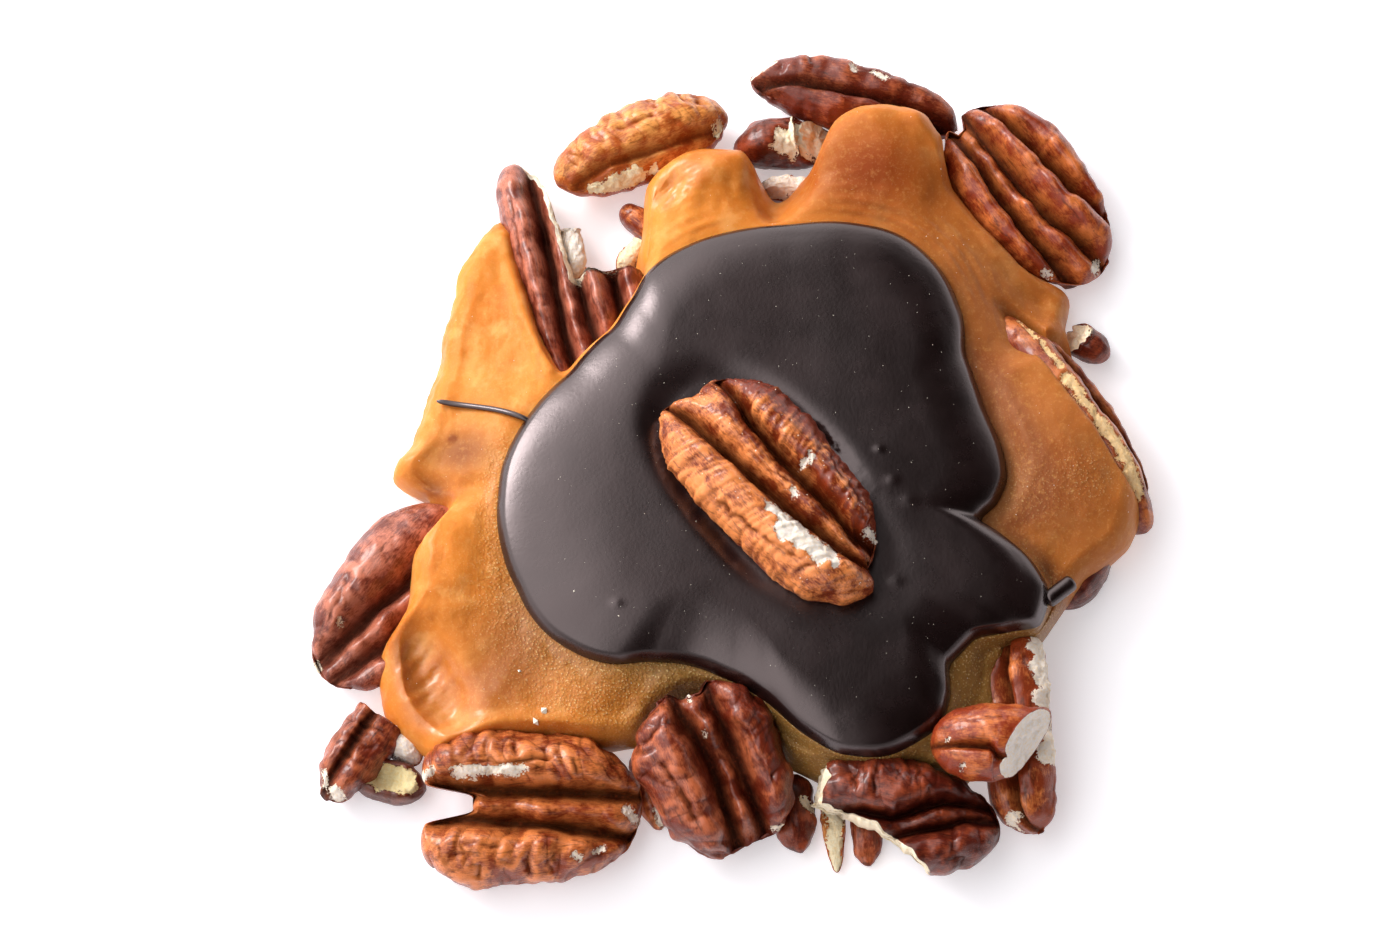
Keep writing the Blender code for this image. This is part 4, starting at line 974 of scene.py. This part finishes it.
def caramelGrid():
    # Rings: under the chocolate, down the slope, round the edge as inner + roll x cos(turn), and back
    # along the flat underside. z = widest + (top - widest) x sin(turn) above, widest x (1 + sin) below.
    form = caramelForm
    angle = np.linspace(0.0, 2.0 * np.pi, form["columns"], endpoint=False)
    outline, _, roll, cover = caramelEdge(angle)  # per column
    inner = outline - roll
    under = np.linspace(0.0, 0.97, 12)[:, None] * cover
    slope = cover + (inner - cover) * np.linspace(0.0, 1.0, 76)[:, None]
    turns = np.concatenate((np.linspace(88.0, 0.0, 34), np.linspace(-4.0, -90.0, 20)))
    edge = inner + roll * np.cos(np.radians(turns))[:, None]
    floor = inner * np.linspace(0.85, 0.0, 6)[:, None]
    away = np.concatenate((under, slope, edge, floor))
    flatTop, flatFloor = len(under) + len(slope), len(floor)
    turns = np.concatenate((np.full(flatTop, 90.0), turns, np.full(flatFloor, -90.0)))[:, None]
    x = middle[0] + away * np.cos(angle)
    y = middle[1] + away * np.sin(angle)
    reach = np.minimum(away, inner)
    inX, inY = middle[0] + reach * np.cos(angle), middle[1] + reach * np.sin(angle)
    top = np.minimum(caramelTop(x, y), caramelTop(inX, inY) + 0.2)
    up = np.sin(np.radians(turns))
    widest = np.minimum(form["widest"] * caramelTop(inX, inY, True), 0.8 * top)
    z = np.where(up > 0, widest + (top - widest) * up, widest * (1.0 + up))
    grid = together(x, y, z)
    beside, inside = away - cover, outline - away  # from the chocolate's edge, from the caramel's own edge
    show = fade(-0.9, -0.2, up) * fade(0.0, 1.5, beside)

    # Relief: soft unevenness, drawn strands, crinkles, a dent, streaks in the crater, a lumpy left edge.
    relief = 0.30 * noise(grid, 8.0, 901) + 0.12 * layeredNoise(grid, 3.0, 902)
    strand = np.sin(4.6 * beside + 1.6 * noise(grid, 7.0, 903)) * (0.7 + 0.5 * noise(grid, 3.0, 906))
    relief += strand * spots(x, y, form["strands"])
    relief += noise(grid, (1.4, 3.4, 3.4), 904) * spots(x, y, form["crinkles"])
    relief -= spots(x, y, form["lipDent"])
    relief += layeredNoise(grid, 1.1, 909) * spots(x, y, form["lipRough"])
    turned = together(0.68 * x + 0.73 * y, 0.73 * x - 0.68 * y, 0.0)
    relief += layeredNoise(turned, (4.0, 0.9, 1.0), 907, 2) * spots(x, y, form["craterStreaks"])
    leftEdge = fade(5.0, 0.0, inside) * fade(-4.0, 4.0, y) * fade(-16.0, -26.0, x)
    relief += 0.22 * leftEdge * layeredNoise(grid, 2.6, 908)
    grainy = 0.12 + spots(x, y, form["grainy"]) + 0.8 * fade(9.0, 0.0, beside) * fade(-8.0, -18.0, y)
    grainy += 0.8 * fade(3.2, 0.6, beside) * fade(6.0, 0.0, y) * fade(-10.0, -20.0, x)
    relief += 0.035 * grainy * noise(grid, 0.9, 905)
    masks = caramelMasks(x, y, beside, inside, grainy)
    grid = grid + outward(grid) * (relief * show)[..., None]
    grid[..., 2] = np.maximum(grid[..., 2], 0.0)
    return grid, masks


def makeCaramel():
    # The slab, translucent, with wet places under a coat. Gives its points for the dust on it.
    grid, masks = caramelGrid()
    sockets = {"Subsurface Weight": 0.3, "Coat Roughness": 0.26, "Specular IOR Level": 0.22}
    material, tree, shader = newMaterial("softCaramel", sockets)
    shader.inputs["Specular Tint"].default_value = (1.0, 0.72, 0.42, 1.0)
    shader.inputs["Subsurface Radius"].default_value = (1.0, 0.4, 0.12)
    shader.inputs["Subsurface Scale"].default_value = 2.2 * mm
    place = addNode(tree, "ShaderNodeTexCoord").outputs["Object"]
    soft = cloud(tree, place, 75.0, 4.0, 0.55)
    mottle = cloud(tree, place, 260.0, 4.0, 0.6)
    grain = cloud(tree, place, 1700.0, 4.0, 0.65)
    cells = {"Vector": place, "Scale": 3600.0, "Randomness": 1.0}
    crystals = addNode(tree, "ShaderNodeTexVoronoi", cells, feature="SMOOTH_F1").outputs["Distance"]
    base = mixed(tree, ranged(tree, soft, 0.34, 0.66), (0.61, 0.180, 0.024), (0.74, 0.255, 0.042))
    base = mixed(tree, ranged(tree, mottle, 0.48, 0.70, 0.0, 0.5), base, (0.84, 0.40, 0.12))
    base = mixed(tree, ranged(tree, mottle, 0.46, 0.30, 0.0, 0.35), base, (0.40, 0.092, 0.012))
    base = mixed(tree, mask(tree, "red"), base, (0.27, 0.042, 0.007))
    # Painted shade with some brown caramel: darker places under folds, in the crater and beside the
    # chocolate.
    base = mixed(tree, mask(tree, "brownAndShade"), base, (0.25, 0.070, 0.022))
    base = mixed(tree, mask(tree, "olive"), base, (0.25, 0.120, 0.030))
    base = mixed(tree, ranged(tree, grain, 0.5, 0.75, 0.0, 0.22), base, (0.80, 0.40, 0.12))
    grainy = mask(tree, "grainy")
    fleck = calc(tree, "MULTIPLY", ranged(tree, crystals, 0.30, 0.12, 0.0, 0.55), grainy)
    base = mixed(tree, fleck, base, (0.86, 0.58, 0.26))
    tree.links.new(base, shader.inputs["Base Color"])
    tree.links.new(ranged(tree, mask(tree, "wet"), 0.15, 1.0, 0.0, 0.9), shader.inputs["Coat Weight"])
    height = calc(tree, "MULTIPLY", grain, calc(tree, "ADD", calc(tree, "MULTIPLY", grainy, 0.5), 0.15))
    pitted = calc(tree, "MULTIPLY", calc(tree, "MULTIPLY", crystals, grainy), 0.7)
    height = calc(tree, "SUBTRACT", height, pitted)
    relief = addNode(tree, "ShaderNodeBump", {"Height": height, "Strength": 0.8, "Distance": 0.22 * mm})
    tree.links.new(relief.outputs["Normal"], shader.inputs["Normal"])
    tree.links.new(ranged(tree, soft, 0.3, 0.7, 0.34, 0.46), shader.inputs["Roughness"])
    closedSkin("caramelSlab", grid, masks, material, "caramel")
    print("caramel")
    return grid


# Dust and sugar: the seed, how many specks lie on a piece, their half width, and single grains
# (x, y, half width).
specks = {
    "caramel": dict(
        seed=187, count=110, size=(0.03, 0.07),
        single=((-20.8, -28.0, 0.60), (-21.5, -29.9, 0.46), (-23.6, -23.4, 0.30)),
    ),
    "chocolate": dict(
        seed=337, count=260, size=(0.02, 0.055), single=((-17.6, -15.6, 0.20), (-12.9, -18.4, 0.18)),
    ),
    "pecan_centre": dict(seed=137, count=60, size=(0.04, 0.10), single=()),
}


def makeSpecks(node, grid, material):
    # Each speck is an eight-sided grain, stretched and turned at random, half sunk into a point of the
    # top. On the two puddles there are more of them away from the middle.
    form = specks[node]
    rng = np.random.default_rng(form["seed"])
    points = grid.reshape(-1, 3)
    steep = outward(grid).reshape(-1, 3)[:, 2]
    exposed = np.flatnonzero((steep > 0.6) & (points[:, 2] > points[:, 2].min() + 4.0))
    away = np.hypot(points[exposed, 0] - middle[0], points[exposed, 1] - middle[1])
    weight = np.ones(len(exposed)) if node == "pecan_centre" else away
    picks = rng.choice(exposed, form["count"], p=weight / weight.sum())
    sizes = rng.uniform(*form["size"], form["count"])
    for x, y, size in form["single"]:
        nearest = exposed[np.argmin(np.hypot(points[exposed, 0] - x, points[exposed, 1] - y))]
        picks, sizes = np.append(picks, nearest), np.append(sizes, size)
    corners = np.array(((1, 0, 0), (-1, 0, 0), (0, 1, 0), (0, -1, 0), (0, 0, 1), (0, 0, -1)), float)
    upper = ((0, 2, 4), (2, 1, 4), (1, 3, 4), (3, 0, 4))
    faces = np.array(upper + ((2, 0, 5), (1, 2, 5), (3, 1, 5), (0, 3, 5)))
    turns = np.linalg.qr(rng.normal(size=(len(picks), 3, 3)))[0]
    turns *= np.sign(np.linalg.det(turns))[:, None, None]
    shapes = sizes[:, None, None] * corners * rng.uniform(0.6, 1.3, (len(picks), 1, 3))
    grains = shapes @ turns + points[picks][:, None]
    faces = faces + len(corners) * np.arange(len(picks))[:, None, None]
    mesh = bpy.data.meshes.new(node + "Specks")
    mesh.from_pydata((grains.reshape(-1, 3) * mm).tolist(), [], faces.reshape(-1, 3).tolist())
    dressed(node + "Specks", mesh, material, node)


def chocolateTop(x, y):
    # Thickness above the caramel's bed grows from the rim as (1 - (1 - distance / width)^2.2)^0.6, with a
    # moat round the middle pecan. Also gives the bed and the distance outside that pecan.
    form = chocolateForm
    away = np.hypot(x - middle[0], y - middle[1])
    angle = np.arctan2(y - middle[1], x - middle[0])
    cover = caramelEdge(angle)[3]
    bed = caramelTop(x, y, True)
    narrow, wide = form["edgeWidth"]
    wideAt, wideSpan = form["wideFlank"]
    flank = narrow + (wide - narrow) * bump(np.mod(angle, 2.0 * np.pi) - wideAt, wideSpan)
    inside = ((cover - away) / flank).clip(0.0, 1.0)
    thick = form["rimHeight"] + (form["thick"] - form["rimHeight"]) * (1.0 - (1.0 - inside) ** 2.2) ** 0.6
    thick = thick + (caramelForm["innerHeight"] - bed).clip(0.0) * fade(0.0, 0.5, inside)
    thick = thick + form["dome"] * ((1.0 - (away / 29.0) ** 2).clip(0.0) - 0.35) * fade(0.0, 0.4, inside)
    outside = outsidePecan(x, y, pecans["pecan_centre"])[0]
    moatWidth, moatDepth = form["moat"]
    lowerRight = fade(0.0, 8.0, 0.75 * (x - 4.6) - 0.65 * (y + 4.5))
    thick = thick + moatDepth * (1.0 - 0.8 * lowerRight) * bump(np.maximum(outside - 0.1, 0.0), moatWidth)
    return bed + thick, bed, outside


def chocolateGrid():
    # Rings over the top, round the rim and back underneath.
    form = chocolateForm
    angle = np.linspace(0.0, 2.0 * np.pi, form["columns"], endpoint=False)
    ring = together(20.0 * np.cos(angle), 20.0 * np.sin(angle), 0.0)
    cover = caramelEdge(angle)[3] + 0.10 * noise(ring, 2.6, 803)
    inner = cover - form["roll"]
    turns = np.linspace(88.0, -40.0, 26)
    over = inner * np.linspace(0.0, 1.0, 120)[:, None] ** 0.8
    rim = inner + form["roll"] * np.cos(np.radians(turns))[:, None]
    underneath = inner * np.linspace(0.98, 0.0, 5)[:, None]
    away = np.concatenate((over, rim, underneath))
    x = middle[0] + away * np.cos(angle)
    y = middle[1] + away * np.sin(angle)
    turns = np.concatenate((np.full(len(over), 90.0), turns, np.full(len(underneath), -90.0)))
    up = np.sin(np.radians(turns))[:, None]
    top, bed, outside = chocolateTop(x, y)
    z = np.where(up >= 0, bed + (top - bed) * up, bed + np.maximum(2.0 * up, -1.0) * form["sink"])
    grid = together(x, y, z)
    relief = 0.10 * noise(grid, 12.0, 801) + 0.008 * noise(grid, 2.4, 802) + spots(x, y, form["bumps"])
    torn = bump(outside - 0.9, 0.8) * spots(x, y, form["torn"])
    relief += 0.05 * torn * layeredNoise(grid, 0.9, 804)
    return grid + outward(grid) * (relief * fade(0.0, 0.5, up))[..., None], {"torn": torn}


def rod(start, end, radius, bend, rows=60, columns=20):
    # A drawn thread: a line bent sideways by a sine, its radius radius x (1 - share^10)^0.5. A bent one
    # follows the caramel, a straight one stays level.
    start, end = np.array(start), np.array(end)
    side = np.array((start[1] - end[1], end[0] - start[0])) / np.linalg.norm(end - start)
    share = (0.5 - 0.5 * np.cos(np.linspace(0.0, np.pi, rows)))[:, None]
    around = np.linspace(0.0, 2.0 * np.pi, columns, endpoint=False)[None, :]
    thick = radius * np.sqrt((1.0 - (2.0 * share - 1.0) ** 10).clip(0.0))
    off = bend * np.sin(np.pi * share) + thick * np.cos(around)
    at = end + (start - end) * share[..., None] + side * off[..., None]
    level = caramelTop(*np.column_stack((start, end)), True).max() - 0.1 * radius
    height = caramelTop(at[..., 0], at[..., 1]) + 0.7 * radius if bend else level
    return together(at[..., 0], at[..., 1], height + 0.3 + thick * np.sin(around))


def makeChocolate():
    # The puddle and its drawn threads. Gives the puddle's points for the dust on it.
    sockets = {"IOR": 1.8, "Specular Tint": (1.0, 0.82, 0.82, 1.0)}
    material, tree, shader = newMaterial("darkChocolate", sockets)
    place = addNode(tree, "ShaderNodeTexCoord").outputs["Object"]
    bloom = cloud(tree, place, 120.0, 5.0, 0.6)
    grain = cloud(tree, place, 2400.0, 3.0, 0.6)
    base = mixed(tree, ranged(tree, bloom, 0.3, 0.7), (0.0042, 0.0013, 0.0011), (0.0095, 0.0036, 0.0034))
    tree.links.new(base, shader.inputs["Base Color"])
    satin = ranged(tree, bloom, 0.3, 0.7, 0.25, 0.30)
    satin = calc(tree, "SUBTRACT", satin, calc(tree, "MULTIPLY", mask(tree, "torn"), 0.12))
    tree.links.new(satin, shader.inputs["Roughness"])
    relief = addNode(tree, "ShaderNodeBump", {"Height": grain, "Strength": 0.25, "Distance": 0.05 * mm})
    tree.links.new(relief.outputs["Normal"], shader.inputs["Normal"])
    grid, masks = chocolateGrid()
    closedSkin("chocolatePuddle", grid, masks, material, "chocolate")
    for name, line in chocolateForm["threads"].items():
        closedSkin(name, rod(*line), {}, material, "chocolate")
    print("chocolate")
    return grid


# The stage: a pale floor, a soft world that is bright low down and dim overhead to the right, and one
# large soft light on the left.
stage = {
    "target": (-4.0, 0.3, 8.0), "distance": 430.0, "elevation": 70.0, "lens": 100.0,
    "floorColour": (0.93, 0.91, 0.95, 1.0), "floorGlow": 0.40, "floorReach": 3000.0,
    "window": (-0.99, 0.12, 0.0), "horizon": (-0.45, 0.89, 0.0),  # directions that the soft light comes from
    "lowSky": (0.50, 1.9), "highSky": (0.0, 2.2),  # away from the window and towards it
    "keyAt": (-318.0, 225.0, 262.0), "keySize": (220.0, 150.0), "keyPower": 1.65,
}


def makeFloor():
    # A flat square that glows a little, so that the shadows on it stay light.
    sockets = {"Roughness": 0.7, "Base Color": stage["floorColour"], "Emission Color": (1.0, 0.98, 1.0, 1.0)}
    sockets["Emission Strength"] = stage["floorGlow"]
    mesh = bpy.data.meshes.new("floor")
    reach = stage["floorReach"] * mm
    corners = [(-reach, -reach, 0), (reach, -reach, 0), (reach, reach, 0), (-reach, reach, 0)]
    mesh.from_pydata(corners, [], [(0, 1, 2, 3)])
    mesh.materials.append(newMaterial("paleFloor", sockets)[0])
    floor = bpy.data.objects.new("floor", mesh)
    bpy.context.scene.collection.objects.link(floor)


def makeWorld():
    # Low down the sky brightens towards the horizon vector, higher up towards the window vector.
    world = bpy.data.worlds.new("softStudio")
    bpy.context.scene.world = world
    world.use_nodes = True
    tree = world.node_tree
    direction = addNode(tree, "ShaderNodeTexCoord").outputs["Generated"]

    def towards(way):
        inputs = {0: direction, 1: way}
        return addNode(tree, "ShaderNodeVectorMath", inputs, operation="DOT_PRODUCT").outputs["Value"]

    upwards = addNode(tree, "ShaderNodeSeparateXYZ", {0: direction}).outputs["Z"]
    low = ranged(tree, towards(stage["horizon"]), -0.7, 0.7, *stage["lowSky"])
    high = ranged(tree, towards(stage["window"]), -0.05, 0.36, *stage["highSky"])
    overhead = ranged(tree, upwards, 0.28, 0.6)
    strength = addNode(tree, "ShaderNodeMix", {0: overhead, 2: low, 3: high}).outputs[0]
    background = tree.nodes["Background"]
    background.inputs["Color"].default_value = (1.0, 1.0, 1.0, 1.0)
    tree.links.new(strength, background.inputs["Strength"])


def makeLightAndCamera():
    # The light points at the origin. The camera is at target + distance x (0, -cos, sin) of its elevation.
    light = bpy.data.lights.new("softWindow", "AREA")
    light.shape = "RECTANGLE"
    light.size, light.size_y = stage["keySize"][0] * mm, stage["keySize"][1] * mm
    light.energy = stage["keyPower"]
    lamp = bpy.data.objects.new("softWindow", light)
    bpy.context.scene.collection.objects.link(lamp)
    lamp.location = Vector(stage["keyAt"]) * mm
    lamp.rotation_euler = (-lamp.location).to_track_quat("-Z", "Y").to_euler()

    camera = bpy.data.cameras.new("camera")
    camera.lens = stage["lens"]
    camera.sensor_width = 36.0
    camera.clip_start = 0.01
    eye = bpy.data.objects.new("camera", camera)
    bpy.context.scene.collection.objects.link(eye)
    tilt = np.radians(stage["elevation"])
    away = Vector((0.0, -np.cos(tilt), np.sin(tilt))) * stage["distance"]
    eye.location = (Vector(stage["target"]) + away) * mm
    eye.rotation_euler = (-away).to_track_quat("-Z", "Y").to_euler()
    bpy.context.scene.camera = eye
    bpy.context.scene.view_settings.view_transform = "Standard"


dust = newMaterial("sugarDust", {"Roughness": 0.4, "Base Color": (0.90, 0.82, 0.68, 1.0)})[0]
makeSpecks("caramel", makeCaramel(), dust)
makeSpecks("chocolate", makeChocolate(), dust)
makeSpecks("pecan_centre", makePecans(), dust)
makeFloor()
makeWorld()
makeLightAndCamera()
print("stage")
